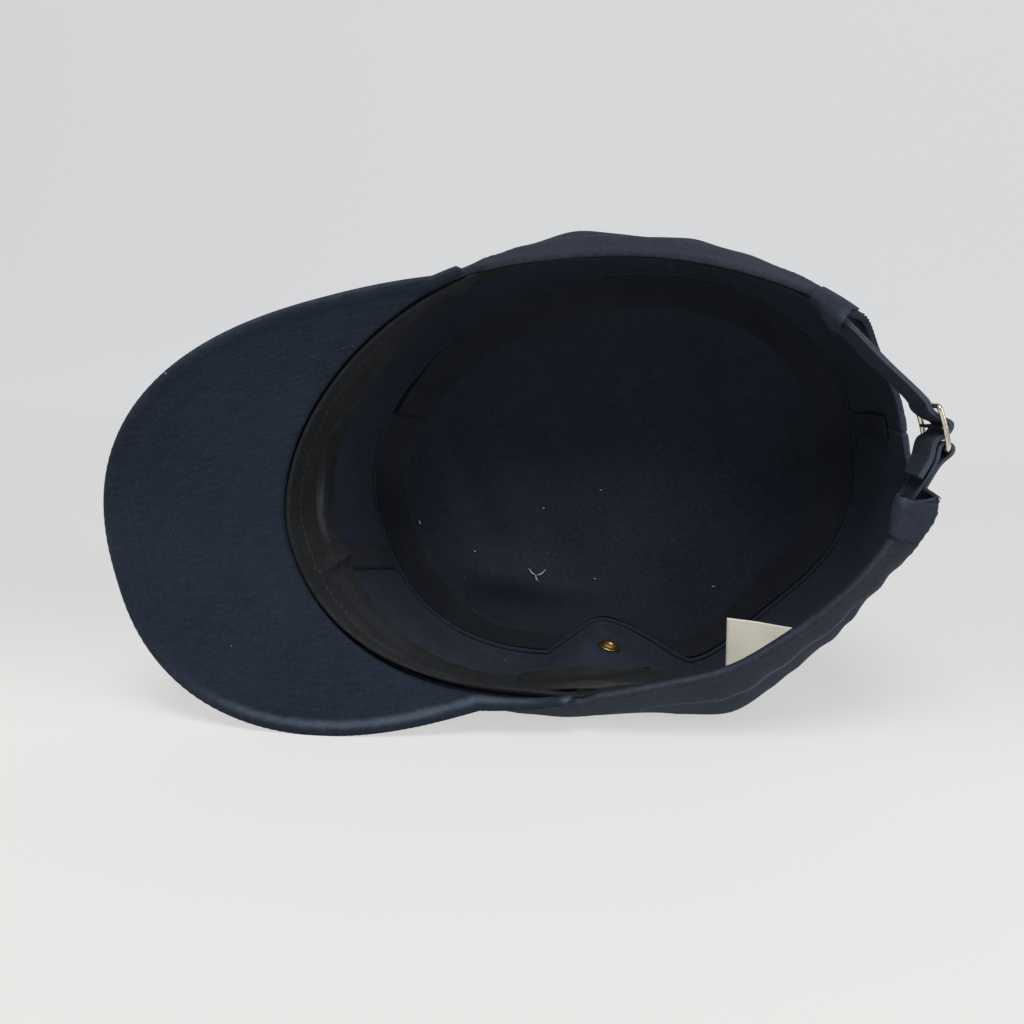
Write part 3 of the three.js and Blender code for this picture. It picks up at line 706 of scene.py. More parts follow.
def onWall(angle, row, lift):
    # points and outward normals on the outer face of the wall
    plain, inward, offset, clear = wallShape(angle, row)
    ease = np.where(np.sin(angle) < 0, clear, 1)
    point = plain - inward * ((offset + hemLift(row)) * ease + lift)[..., None]
    point[..., 2] = np.maximum(point[..., 2], 0.15)
    return point, -inward


stitch = wall["stitch"]
hemRows = []
for start, end in ((1, 161), (199, 359)):
    for row in (stitch["edgeRow"], wall["hemLine"]):
        hemRows.append(onWall(np.radians(np.linspace(start, end, 420)), row, stitch["lift"]))
for row in (stitch["edgeRow"], stitch["archRow"]):
    hemRows.append(onWall(np.radians(np.linspace(163.2, 196.8, 160)), row, stitch["lift"]))
for aside in (-stitch["besideSeam"], stitch["besideSeam"]):
    for at in crown["seam"].values():
        hemRows.append(onWall(math.radians(at + aside), np.linspace(16, 77, 90), 0.0))
hemRows.append(onWall(np.radians(np.linspace(0.5, 359.5, 700)), stitch["topRow"], stitch["lift"]))
place(stitchPiece("wallStitches", hemRows, stitch["radius"]), navyThread, "crown_twill")
print("wall stitches ready")

# Top panel, soft and a little slack
top = dict(
    angles=300, rings=58, slack=0.9, fold=1.6, hollow=1.1, edge=0.8, stitchRow=4.6, stitchRadius=0.24,
    seam=dict(radius=0.95, depth=-0.05, inset=-0.25, facing=-0.7),
)


def topSlack(point, reach):
    # one fold upwards near the front and one hollow low in the middle; the seam holds the edge
    x, z, hold = point[..., 0], point[..., 2], 1 - reach**4
    folds = top["fold"] * bell(x + (z - 45) * 0.4, -46, 7) * bell(z, 66, 26)
    folds = folds - top["hollow"] * bell(z - 0.05 * x, 32, 5) * bell(x, -14, 24)
    return hold * (folds + top["slack"] * (grain(point, 46.0, 1.7) + 0.45 * grain(point, 17.0, 5.2)))


def topPanel():
    angles = turnsOf(top["angles"])
    reaches = np.concatenate([np.linspace(0, 0.97, top["rings"] - 5), [0.982, 0.99, 0.995, 0.998, 1.0]])
    angle, reach = np.meshgrid(angles, reaches, indexing="ij")
    plain = topPoint(angle, reach)
    slack = topSlack(plain, reach)
    span = np.linalg.norm(plain - plain[:, :1], axis=-1)
    fromSeam = span[:, -1:] - span
    edge = rounded(fromSeam, top["edge"])
    ridge = 0.35 * bell(fromSeam, 2.2, 1.4) - 0.25 * bell(fromSeam, top["stitchRow"], 0.8)
    outer, inner = plain.copy(), plain.copy()
    outer[..., 1] += crown["cloth"] + slack + ridge - edge
    inner[..., 1] += slack + edge
    weave = np.stack([plain[..., 0], plain[..., 2]], -1)
    wear = 0.5 * bell(fromSeam, 0, 2.0)
    nu, nv = angle.shape
    middles = {f * nu * nv + i * nv: f * nu * nv for f in (0, 1) for i in range(nu)}
    joined = [tuple(dict.fromkeys(middles.get(k, k) for k in face)) for face in sheetFaces(nu, nv, True)]
    faces = [face for face in joined if len(face) > 2]
    both = (np.stack([side, side]) for side in (weave, wear))
    piece = addPiece("topPanel", np.stack([outer, inner]), faces, *both)
    place(piece, crownTwill, "crown_twill", "crown_top")
    return inner.reshape(-1, 3)


panelInside = topPanel()
seam = top["seam"]  # turned seam allowances under the ring tape
seamAngle = np.linspace(0, 2 * np.pi, 500)
seamLine = wallLayer(seamAngle, crown["depth"] + seam["depth"], crown["cloth"] + seam["inset"])
seamUp = inwardAt(wallPoint, seamAngle, crown["depth"] + seam["facing"])
place(roll("topSeamRoll", seamLine, seamUp, seam["radius"]), crownTwill, "crown_twill")
ringAngle = np.linspace(0, 2 * np.pi, 700)
ringReach = 1 - top["stitchRow"] / panelSpan(ringAngle)
ringLine = topPoint(ringAngle, ringReach)
ringLine[:, 1] += crown["cloth"] + topSlack(ringLine, ringReach) - 0.1
ringUp = np.tile([0, 1.0, 0], (len(ringLine), 1))
place(stitchPiece("topStitches", [(ringLine, ringUp)], top["stitchRadius"]), navyThread, "crown_twill")
# Lint that clings to the inside of the panel: lines in x and z
lint = dict(radius=0.3, clear=0.3, lines=[
    [(-32.0, 40.7), (-30.6, 39.0), (-29.1, 38.0)], [(-25.4, 40.2), (-27.0, 38.6), (-29.1, 38.0)],
    [(-29.1, 38.0), (-28.9, 36.8), (-28.0, 35.5)], [(-78.0, 57.8), (-77.8, 57.0), (-77.3, 56.4)],
    [(-55.5, 46.2), (-55.0, 46.3), (-54.4, 46.0)], [(-4.6, 72.9), (-4.0, 72.8), (-3.6, 73.1)],
    [(-27.5, 64.7), (-27.0, 64.5), (-26.6, 64.8)], [(40.6, 36.4), (41.2, 36.6), (41.8, 36.3)],
    [(-6.2, 37.1), (-5.7, 37.3), (-5.2, 37.0)],
])


def onPanel(x, z):
    near = panelInside[np.argmin(np.hypot(panelInside[:, 0] - x, panelInside[:, 2] - z))]
    return np.array([x, near[1] - lint["radius"] - lint["clear"], z])


lintLines = [[onPanel(x, z) for x, z in line] for line in lint["lines"]]
place(threadEnds("panelLint", lintLines, np.array([0, -1.0, 0]), lint["radius"]), lintThread, "crown_twill")
print("top panel ready")


# Binding tapes on the seams inside
tapeRing = dict(
    inset=1.8, width=13.3, thick=0.75, gap=0.3, edge=0.4, arc=85.0, low=4.6,
    lapAngle=28.0, lap=1.3, jog=2.2, tuckAngle=283.0, tuckSpread=19.0, tuck=8.2,
)
tapeStrip = dict(thick=0.9, edge=0.35, foot=29.0, footGap=0.6, headGap=2.6, frontWidth=11.0, backWidth=9.0)


def ringTape():
    angles = np.radians(tapeRing["lapAngle"] + np.linspace(0, 360, 420))
    shares = np.array([0, 0.01, 0.03, 0.08, 0.2, 0.35, 0.5, 0.65, 0.8, 0.92, 0.97, 0.99, 1.0])
    angle, share = np.meshgrid(angles, shares, indexing="ij")
    degrees = np.degrees(angle)
    turned = degrees - tapeRing["lapAngle"]
    # the tape is drawn in behind the tent fold, and its first end laps over the last
    low = smooth(degrees, 222, 246) * (1 - smooth(degrees, 318, 344))
    width = tapeRing["width"] - tapeRing["low"] * low
    width = width - tapeRing["tuck"] * np.exp(-(((degrees - tapeRing["tuckAngle"]) / tapeRing["tuckSpread"]) ** 4))
    jog = tapeRing["jog"] * (1 - smooth(turned, 0, 26))
    reach = 1 - (tapeRing["inset"] + jog + width * (1 - share)) / panelSpan(angle)
    plain = topPoint(angle, reach)
    arc = angle * tapeRing["arc"]
    gather = 0.22 * np.sin(arc / 3.1 + 1.5 * np.sin(arc / 23)) * bell(share, 0.0, 0.5) + 0.45 * grain(plain, 12.0, 6.6)
    lap = tapeRing["lap"] * (1 - smooth(turned, 7, 10)) + 0.5 * bell(turned, 0, 1.6)
    stand = tapeRing["thick"] + 0.4 * gather + lap
    draw = rounded(share * width, tapeRing["edge"]) + rounded((1 - share) * width, tapeRing["edge"])
    seat = topSlack(plain, reach) - tapeRing["gap"]
    outer, inner = plain.copy(), plain.copy()
    outer[..., 1] += seat - lap * 0.8 - draw
    inner[..., 1] += seat - stand - 0.2 + draw
    weave = np.stack([arc, share * tapeRing["width"]], -1)
    wear = 0.22 * (bell(share, 0, 0.05) + bell(share, 1, 0.05))
    place(clothSheet("ringTape", outer, inner, weave, wear), seamTape, "binding_tape", "top_seam_tape")


def seamStrip(name, middle, low, width, node):
    half = math.degrees(width / 2 / rim["front"])
    run = crown["depth"] - tapeStrip["headGap"] - low
    rows = np.concatenate([[0, 0.1, 0.3, 0.7], np.linspace(1.4, run - 1.4, 34), [run - 0.5, run]]) + low
    share, depth = np.meshgrid(np.linspace(-1, 1, 13), rows, indexing="ij")
    angle = np.radians(middle + share * half)
    draw = rounded((1 - np.abs(share)) * width / 2, tapeStrip["edge"])
    bow = 0.35 * grain(np.stack([share * 4, depth, 0 * depth], -1), 7.0, middle) + 0.25 * (1 - share**2)
    outer = wallLayer(angle, depth, lining + draw)
    inner = wallLayer(angle, depth, lining + tapeStrip["thick"] + bow - draw)
    weave = np.stack([share * width / 2, depth], -1)
    wear = 0.2 * bell(np.abs(share), 1, 0.1)
    place(clothSheet(name, outer, inner, weave, wear), seamTape, "binding_tape", node)


ringTape()
frontFoot = float(rowDepth(math.radians(seamFront), tapeStrip["foot"])) + tapeStrip["footGap"]
seamStrip("frontTape", seamFront, frontFoot, tapeStrip["frontWidth"], "front_seam_tape")
backFoot = crown["arch"]["height"] + crown["arch"]["hem"]
seamStrip("backTape", seamBack, backFoot, tapeStrip["backWidth"], "back_seam_tape")
print("seam tapes ready")

# Sweatband: a folded tape with a stitched edge, loose and creased at the front
band = dict(
    end=155.0, width=29.0, thick=1.2, lip=0.6, fold=17.0, line=5.5, recess=1.6, arc=95.0,
    flare=6.0, flareAngle=5.0, flareSpread=60.0, lowFlare=5.0, lowAngle=-52.0, lowSpread=24.0,
    stand=11.0, standAngle=-88.0, standSpread=24.0, narrow=0.3, narrowAngle=-36.0, narrowSpread=20.0,
    foldStep=0.7, lineDip=0.3, pipeGroove=0.5, pucker=0.14, loose=0.45, wave=0.7, crumple=0.4,
    stitch=dict(end=153.0, lift=0.05, radius=0.22, pitch=2.9),
    wear=dict(fold=0.5, edge=0.3, front=1.0, stand=0.12, low=0.5),
)
bandCreases = [  # angle, spread, row, reach, height towards the head, slant
    (-9, 1.1, 23, 12, 2.6, 0.0), (-6.3, 1.2, 23, 10, -0.5, 0.0), (8, 7, 19.5, 1.3, 1.5, 0.0),
    (10, 9, 23.5, 1.2, 1.2, 0.2), (21, 2.2, 21, 5, 2.0, 0.9), (26, 2.4, 23, 5, 1.6, -0.9),
    (31, 2.0, 19, 4, 1.2, 1.1), (40, 6, 22, 2, 1.2, 0.3), (70, 2.6, 8, 7, 2.2, 0.6),
    (77, 2.2, 13, 8, 1.6, -0.5), (-24, 9, 22, 1.6, 1.0, 0.1), (-46, 12, 21, 1.5, 0.9, 0.0),
    (-70, 11, 14, 1.3, 2.4, 0.25), (-78, 13, 18.5, 1.4, 2.8, 0.15), (-86, 12, 9.5, 1.3, 2.2, -0.15),
    (-82, 12, 23.0, 1.4, 2.6, 0.1), (-92, 9, 26.5, 1.2, 2.0, -0.2), (-12, 9, 19.0, 0.8, -0.5, 0.0),
]


def bandLift(angle, row, point):
    # how far the tape stands off the wall towards the head
    degrees = np.degrees(angle)
    freeEdge = np.clip(row / band["width"], 0, 1) ** 1.2
    standing = np.clip((row - 5) / (band["width"] - 5), 0, 1)
    out = band["foldStep"] * (1 - smooth(row, band["fold"] - 0.4, band["fold"] + 0.4))
    out = out - band["lineDip"] * bell(row, band["line"], 0.6)
    out = out - band["pipeGroove"] * bell(row, 1.6, 0.7)  # behind the piping
    out = out + band["flare"] * bell(degrees, band["flareAngle"], band["flareSpread"]) * freeEdge
    out = out + band["lowFlare"] * bell(degrees, band["lowAngle"], band["lowSpread"]) * freeEdge
    out = out + band["stand"] * bell(degrees, band["standAngle"], band["standSpread"]) * standing
    arc = angle * band["arc"]
    out = out + band["pucker"] * np.sin(arc / 1.9 + 2 * np.sin(arc / 13)) * bell(row, band["line"], 2.4)
    for at, spread, middle, reach, height, slant in bandCreases:
        out = out + height * bell(degrees + (row - middle) * slant, at, spread) * bell(row, middle, reach)
    loose = smooth(row, band["fold"], band["fold"] + 6)
    crumple = band["wave"] * grain(point, 11.0, 2.2) + band["crumple"] * grain(point, 4.5, 7.7)
    out = out + loose * (band["loose"] + crumple)
    return np.maximum(out, -0.25)


def besidePeak(angle):
    return 1 - smooth(np.abs(np.degrees(angle)), 60, 86)


def bandRow(angle, row):
    # the free edge is drawn down low at the front, and away from the peak the band starts behind the rim
    drawn = band["narrow"] * bell(np.degrees(angle), band["narrowAngle"], band["narrowSpread"])
    recess = band["recess"] * (1 - besidePeak(angle)) * (1 - row / band["width"])
    return row + recess - np.maximum(row - band["fold"], 0) * drawn


def bandDepth(angle, row):
    overlap = 0.3 + (band["lip"] - 0.3 + peak["thick"] * np.maximum(np.cos(angle), 0)) * besidePeak(angle)
    return rowDepth(angle, bandRow(angle, np.maximum(row, 0))) + overlap * np.minimum(row, 0)


def bandThin(angle, row):
    # away from the peak the tape is thinner at the rim
    return besidePeak(angle) + (1 - besidePeak(angle)) * (0.3 + 0.7 * smooth(row, 0, 6))


def sweatband():
    angles = np.radians(np.linspace(-band["end"], band["end"], 560))
    rows = np.concatenate([[-1, -0.93, -0.8, -0.5, -0.2], np.arange(0, 28.2, 0.8), [28.6, 28.85, band["width"]]])
    angle, row = np.meshgrid(angles, rows, indexing="ij")
    depth = bandDepth(angle, row)
    plain = wallLayer(angle, depth, lining)
    inward = inwardAt(wallPoint, angle, depth)
    lift = np.where(row < 0, 0.2, bandLift(angle, row, plain))
    draw = rounded(np.where(row < 0, (row + 1) * 3, band["width"] - row), 0.25 + 0.25 * besidePeak(angle))
    flap = np.maximum(lift - 1.0, 0) * smooth(row, 8, 16)
    outer = plain + inward * (flap + draw)[..., None]
    inner = plain + inward * ((band["thick"] + lift) * bandThin(angle, row) - draw)[..., None]
    weave = np.stack([angle * band["arc"], row], -1)
    degrees, worn = np.degrees(angle), band["wear"]
    wear = worn["fold"] * bell(row, band["fold"], 1.0) + worn["edge"] * bell(row, band["width"], 1.0)
    wear = wear + worn["front"] * bell(row, 20, 2.0) * bell(degrees, 4, 9)
    wear = wear + worn["stand"] * bell(degrees, -82, 22) * smooth(row, 4, 9)
    wear = wear + worn["low"] * bell(row, 8, 7) * bell(degrees, -38, 30) * (0.6 + 0.6 * grain(plain, 9.0, 4.9))
    place(clothSheet("sweatbandTape", outer, inner, weave, wear), bandTape, "sweatband_tape", "sweatband")


def onBand(angle, row, lift):
    depth = bandDepth(angle, row)
    plain = wallLayer(angle, depth, lining)
    inward = inwardAt(wallPoint, angle, depth)
    thick = (band["thick"] + bandLift(angle, row, plain)) * bandThin(angle, row)
    return plain + inward * (thick + lift)[..., None], inward


sweatband()
stitch = band["stitch"]
bandLine = np.radians(np.linspace(-stitch["end"], stitch["end"], 900))
bandRows = [onBand(bandLine, band["line"], stitch["lift"])]
place(stitchPiece("bandStitches", bandRows, stitch["radius"], stitch["pitch"]), paleThread, "sweatband_tape")

# Piping along the rim, thicker where it covers the seam of the peak
piping = dict(radius=0.45, fuller=0.35, inset=0.2, depth=0.3, over=0.9, taper=0.3, wear=0.2)
pipeAngle = np.radians(np.linspace(-band["end"], band["end"], 700))
pipeFront = besidePeak(pipeAngle)
pipeDepth = bandDepth(pipeAngle, -1.0) + piping["depth"] - piping["over"] * pipeFront
pipeLine = wallLayer(pipeAngle, pipeDepth, lining + piping["inset"] + piping["fuller"] * pipeFront)
pipeUp = inwardAt(wallPoint, pipeAngle, pipeDepth)
pipeRadius = piping["radius"] + piping["fuller"] * pipeFront
pipe = roll("rimPiping", pipeLine, pipeUp, pipeRadius, piping["taper"], piping["wear"] * pipeFront)
place(pipe, bandTape, "sweatband_tape")
print("sweatband ready")

# Peak: two covers over a stiff board, with stitched rows that follow its edge
brim = dict(
    angles=260, rows=46, stitchRows=[8.6, 13.4, 18.0, 22.6, 27.2, 31.8, 36.4, 41.0], groove=0.06,
    stitchRadius=0.11, stitchPitch=2.7, lumps=0.22, swell=0.4, swellDip=0.12,
    wear=dict(all=0.08, edge=0.3, inner=0.12, low=0.7),
)
edgeAngle = np.linspace(-peakEnd, peakEnd, 900)
edgeLine = peakPlan(edgeAngle, np.ones(edgeAngle.shape))


def fromEdge(plan):
    flat = plan.reshape(-1, 2)
    near = np.array([np.min(np.hypot(*(edgeLine - p).T)) for p in flat])
    return near.reshape(plan.shape[:-1])


def peakBody():
    angles = np.linspace(-peakEnd, peakEnd, brim["angles"])
    steps = np.concatenate([np.linspace(0, 0.9, brim["rows"]) ** 0.9, [0.93, 0.955, 0.975]])
    angle, v = np.meshgrid(angles, steps, indexing="ij")
    # the last rows go round the edge by true distance
    whole = peakPlan(angle[:, :1], np.ones((len(angles), 1)))
    seat = peakPlan(angle[:, :1], np.zeros((len(angles), 1)))
    width = np.linalg.norm(whole - seat, axis=-1)
    lastSteps = [3.0, 2.2, 1.6, 1.1, 0.7, 0.35, 0.12, 0.0]
    last = np.stack([1 - np.minimum(s / width[:, 0], 0.5 + 0.05 * k) for k, s in enumerate(lastSteps)], -1)
    v = np.concatenate([np.minimum(v, last[:, :1] - 0.02 * (1 - v)), last], 1)
    angle = np.repeat(angles[:, None], v.shape[1], 1)
    plan = peakPlan(angle, v)
    away = fromEdge(plan)
    half = peak["thick"] / 2
    dips = sum(bell(away, r, 0.9) for r in brim["stitchRows"]) * brim["groove"]
    swell = brim["swell"] * bell(away, 2.8, 1.7) - brim["swellDip"] * bell(away, 5.6, 1.2)
    lumps = brim["lumps"] * grain(np.stack([plan[..., 0], plan[..., 1], 0 * plan[..., 0]], -1), 24.0, 4.4)
    lumps = lumps * smooth(away, 0, 6)
    draw = np.where(v > 0.999, half - 0.04, rounded(away, half) * 0.98)
    upper = peakPoint(plan, half - draw - dips + swell + lumps)
    lower = peakPoint(plan, -(half - draw - dips + swell * 0.8 + lumps))
    lowEdge, worn = smooth(-np.degrees(angle), 10, 30), brim["wear"]
    wear = (1 - lowEdge) * (worn["edge"] * bell(away, 0.6, 1.0) + worn["inner"] * bell(away, 2.6, 1.4))
    wear = wear + worn["low"] * lowEdge * bell(away, 4.0, 1.5) + worn["all"]
    place(clothSheet("peakBody", upper, lower, plan, wear), peakTwill, "peak_twill", "peak")


def peakRow(offset, side):
    # a row of stitches at one distance from the peak's edge
    along = heading(edgeLine)
    into = np.stack([-along[:, 1], along[:, 0]], -1)
    front = len(edgeLine) // 2
    inside = np.array([-90.0, 0.0])  # a point on the peak, behind its front edge
    if ((inside - edgeLine[front]) @ into[front]) < 0:
        into = -into
    plan = edgeLine + into * offset
    angle = np.arctan2(plan[:, 1], -plan[:, 0])
    clear = np.hypot(plan[:, 0], plan[:, 1]) - ovalRadius(angle, rim)
    plan = plan[(clear > 0.8) & (fromEdge(plan) > offset - 0.4)]
    lift = side * (peak["thick"] / 2 - brim["groove"] + 0.03)
    return peakPoint(plan, lift), side * unit(peakPoint(plan, 1.0) - peakPoint(plan, -1.0))


peakBody()
peakRows = [peakRow(r, side) for r in brim["stitchRows"] for side in (-1, 1)]
peakThreads = stitchPiece("peakStitches", peakRows, brim["stitchRadius"], brim["stitchPitch"])
place(peakThreads, peakThread, "peak_twill")
print("peak ready")

# Back strap, its tab and the buckle, in the buckle's own plan
strap = dict(
    width=15.0, thick=1.6, depth=3.0, lean=20.0, sewn=0.8, inset=2.9, tail=12.0,
    leadIn=1.2, crossing=3.3, ease=0.4, bulge=0.9, edge=0.35, shoulder=1.2, groove=0.3, edgeFace=0.94,
    ripple=0.1, wear=0.8, stitch=dict(row=1.9, dip=0.12, sunk=0.06, radius=0.2, pitch=2.6),
)
tab = dict(thick=1.0, plyGap=0.4, inset=2.7, drop=4.0, shortEnd=4.0, turn=0.1, turnSpan=5.0)
buckle = dict(length=16.2, width=20.0, bar=1.8, middle=1.4, corner=2.5, p=118.3, q=-12.1, bow=0.8, sides=14)
strapLean = math.radians(strap["lean"])


def rolled(x, y, z):
    # from beside the buckle to where the cap lies
    home = lay(buckle["p"], 0.0, strap["depth"], rim)
    turn = math.radians(rim["roll"])
    x, y, z = np.broadcast_arrays(x, y, z)
    return home + np.stack([x * math.cos(turn) - z * math.sin(turn), y, x * math.sin(turn) + z * math.cos(turn)], -1)


def fastened(p, q, along, fall=0.0):
    # a strap leans towards the head, turns upright below the buckle and goes deeper there
    p, q, along = np.broadcast_arrays(np.asarray(p, float), np.asarray(q, float), np.asarray(along, float))
    below = np.maximum(loopFoot - q, 0)
    y = along * math.cos(strapLean)
    turn = tab["turn"] * np.minimum(below / tab["turnSpan"], 1)
    return rolled(p - buckle["p"] - along * math.sin(strapLean) + turn * y, y + fall * below, q)


def rimPlan(degrees, depth, inset):
    angle = math.radians(degrees)
    radius = float(ovalRadius(angle, rim)) + float(rimShift(angle, depth)) - inset
    return np.array([-radius * math.cos(angle), radius * math.sin(angle)])


def atBuckle(outwards, along):
    return np.array([buckle["p"] + outwards, buckle["q"] - along])


def besideTab(inwards, along):
    return loopCentre + tabInside * inwards - tabHeading * along


def between(a, b, t, start, end):
    return (end - t) / (end - start) * a + (t - start) / (end - start) * b


def throughPoints(path, steps):
    # a smooth line through plan points, with the points' own spacing
    path = np.asarray(path, float)
    ext = np.vstack([2 * path[0] - path[1], path, 2 * path[-1] - path[-2]])
    knots = runAlong(ext, 0.5)
    out = []
    for i in range(1, len(ext) - 2):
        p0, p1, p2, p3 = ext[i - 1 : i + 3]
        t0, t1, t2, t3 = knots[i - 1 : i + 3]
        for t in np.linspace(t1, t2, 24, endpoint=False):
            a1, a2, a3 = between(p0, p1, t, t0, t1), between(p1, p2, t, t1, t2), between(p2, p3, t, t2, t3)
            b1, b2 = between(a1, a2, t, t0, t2), between(a2, a3, t, t1, t3)
            out.append(between(b1, b2, t, t1, t2))
    out.append(path[-1])
    line, _ = spaced(np.column_stack([np.array(out), np.zeros(len(out))]), 1.0)
    at = np.linspace(0, len(line) - 1, steps)
    return np.stack([np.interp(at, np.arange(len(line)), line[:, k]) for k in range(2)], -1)


def ribbon(name, path, thick, steps, plies, slot, node, fall=0.0):
    # a strap with rounded edges and a groove between its plies
    line = throughPoints(path, steps)
    along = heading(line)
    side = np.stack([-along[:, 1], along[:, 0]], -1)
    run = runAlong(line)[:, None]
    w, half, stitch = strap["width"], thick / 2, strap["stitch"]
    edge, shoulder, deep, flat = (strap[k] for k in ("edge", "shoulder", "groove", "edgeFace"))
    # a closed outline of the cross-section: across the width, then through the thickness
    section = [edge, *np.linspace(shoulder, w - shoulder, 16), w - edge]
    section = [(y, 1.0) for y in section]
    face = np.linspace(1, -1, 4 * plies + 1)
    groove = deep * (0.5 - 0.5 * np.cos((face + 1) * np.pi * plies)) if plies > 1 else deep + 0 * face
    far = [(w - deep + g, f * flat) for f, g in zip(face, groove)]
    back = [(y, -f) for y, f in section[::-1]]
    near = [(deep - g, -f * flat) for f, g in zip(face, groove)]
    y, f = np.array(section + far + back + near).T
    edges = bell(y, 1.6, 1.2) + bell(y, w - 1.6, 1.2)
    ripple = strap["ripple"] * np.sin(run / 2.6 + 1.3 * np.sin(run / 9)) * edges
    dip = stitch["dip"] * (bell(y, stitch["row"], 0.5) + bell(y, w - stitch["row"], 0.5))
    out = half * f + np.sign(f) * (ripple - dip)
    plan = line[:, None] + side[:, None] * out[..., None]
    points = fastened(plan[..., 0], plan[..., 1], y, fall)
    wear = np.broadcast_to(strap["wear"] * (bell(y, 0, 0.6) + bell(y, w, 0.6)), out.shape)
    weave = np.stack(np.broadcast_arrays(run, y + f * 3), -1)
    place(addPiece(name, points, tubeFaces(*out.shape), weave, wear), strapTwill, slot, node)
    rows = []
    for edge in (stitch["row"], w - stitch["row"]):
        for s in (1, -1):
            inside = line[2:-2] + side[2:-2] * s * (half - stitch["sunk"])
            seat = fastened(*inside.T, edge, fall)
            rows.append((seat, fastened(*(inside + side[2:-2] * s).T, edge, fall) - seat))
    place(stitchPiece(name + "Stitches", rows, stitch["radius"], stitch["pitch"]), navyThread, slot)


archStop, rightEnd = 180 - crown["arch"]["half"], 180 + crown["arch"]["half"]
barOffset = (buckle["length"] - buckle["bar"]) / 2
strapLift = (buckle["bar"] + strap["thick"]) / 2 + crown["gap"] + strap["ease"]
middleLift = (buckle["middle"] + strap["thick"]) / 2 + crown["gap"] + strap["ease"]
loopRadius = buckle["bar"] / math.sqrt(2) + crown["gap"] + tab["thick"] / 2
tailLift = loopRadius + (tab["thick"] + strap["thick"]) / 2 + crown["gap"] + strap["ease"]
loopCentre = atBuckle(0, barOffset)
tabEnd = rimPlan(rightEnd, strap["depth"] + tab["drop"], tab["inset"])
tabLength = float(np.linalg.norm(loopCentre - tabEnd))
tabHeading = unit(loopCentre - tabEnd)
tabInside = np.array([-tabHeading[1], tabHeading[0]])
loopReach = loopRadius + tab["thick"] / 2
loopFoot = loopCentre[1] - loopReach
lowerWindow = (buckle["middle"] / 2 + barOffset - loopReach) / 2
plyHalf = (tab["thick"] + tab["plyGap"]) / 2
plyLift = plyHalf + (tab["thick"] + strap["thick"]) / 2 + crown["gap"] + strap["ease"]
strapStart = rimPlan(archStop, strap["depth"], strap["inset"])
strapEntry = atBuckle(-strapLift, -barOffset - strap["leadIn"])
strapPath = [
    rimPlan(archStop - strap["sewn"], strap["depth"], strap["inset"]),
    strapStart,
    (strapStart + strapEntry) / 2,
    strapEntry,
    atBuckle(-strapLift, -barOffset + strap["ease"]),
    atBuckle(0, -strap["crossing"]),
    atBuckle(middleLift + strap["bulge"], -strap["ease"]),
    atBuckle(strap["ease"], lowerWindow + strap["ease"] / 2),
    besideTab(tailLift, -tab["thick"]),
    besideTab(plyLift, 2 * loopReach),
    besideTab(plyLift, strap["tail"]),
]
ribbon("strapRibbon", strapPath, strap["thick"], 120, 2, "strap_twill", "strap")
turns = []
for turn in np.linspace(-np.pi / 2, np.pi / 2, 5):
    turns.append(loopCentre + (tabHeading * math.cos(turn) - tabInside * math.sin(turn)) * loopRadius)
tabPath = [
    rimPlan(rightEnd + strap["sewn"], strap["depth"] + tab["drop"], tab["inset"] + tab["thick"]),
    besideTab(plyHalf, tabLength),
    besideTab(plyHalf, 2 * loopReach),
    *turns,
    besideTab(-plyHalf, 2 * loopReach),
    besideTab(-plyHalf, tabLength - tab["shortEnd"]),
]
tabFall = tab["drop"] / (loopFoot - tabEnd[1])
ribbon("strapTab", tabPath, tab["thick"], 110, 1, "strap_twill", "strap_tab", tabFall)


# Folded ends of the hem, over the sewn ends of the strap and its tab
hemEnds = dict(outer=-0.95, front=-1.0, lap=8.0, stand=4.7, slope=0.36, thick=0.7, run=6.5, steps=44)


def hemEnd(name, cut, away):
    # away is the way from the cut edge along the hem, in degrees
    fold, steps = hemEnds, hemEnds["steps"]
    angles = np.radians(np.linspace(cut + away * fold["run"], cut - away * 0.25, 16))
    path = [(0.0, 9.0), (0.0, 5.0), (0.0, 1.2), (0.18, 0.1), (0.5, 0.0), (0.82, 0.1), (1.0, 1.2), (1.0, 4.0)]
    line = throughPoints(path + [(1.0, fold["lap"])], steps)
    share, depth = (np.broadcast_to(line[:, k], (len(angles), steps)) for k in (0, 1))
    angle = np.broadcast_to(angles[:, None], share.shape)
    depth = depth + fold["front"] * bell(share, 0.5, 0.4)
    near = 0.4 + 0.6 * smooth(np.abs(np.degrees(angle) - cut), fold["run"], 1.5)
    stand = (fold["stand"] + fold["slope"] * np.maximum(depth, 0)) * near
    stand = stand + rimShift(angle, depth) - rimShift(angle, 0 * depth)
    inset = fold["outer"] + share * (stand - fold["outer"])
    start = wallLayer(angle, depth, inset)
    along = unit(np.gradient(start, axis=1))
    into = unit(np.cross(np.gradient(start, axis=0), along)) * away
    pinch = rounded(np.minimum(np.arange(steps), np.arange(steps)[::-1]) * 0.35, 0.3)[None, :, None]
    wear = 0.5 * bell(share, 0.5, 0.3) * bell(np.degrees(angle), cut, 1.2) + 0.15
    weave = np.stack([angle * wall["weaveArc"], depth + share * 5], -1)
    piece = clothSheet(name, start + into * pinch, start + into * (fold["thick"] - pinch), weave, wear)
    place(piece, crownTwill, "crown_twill")


hemEnd("hemEndUpper", archStop, -1)
hemEnd("hemEndLower", rightEnd, 1)


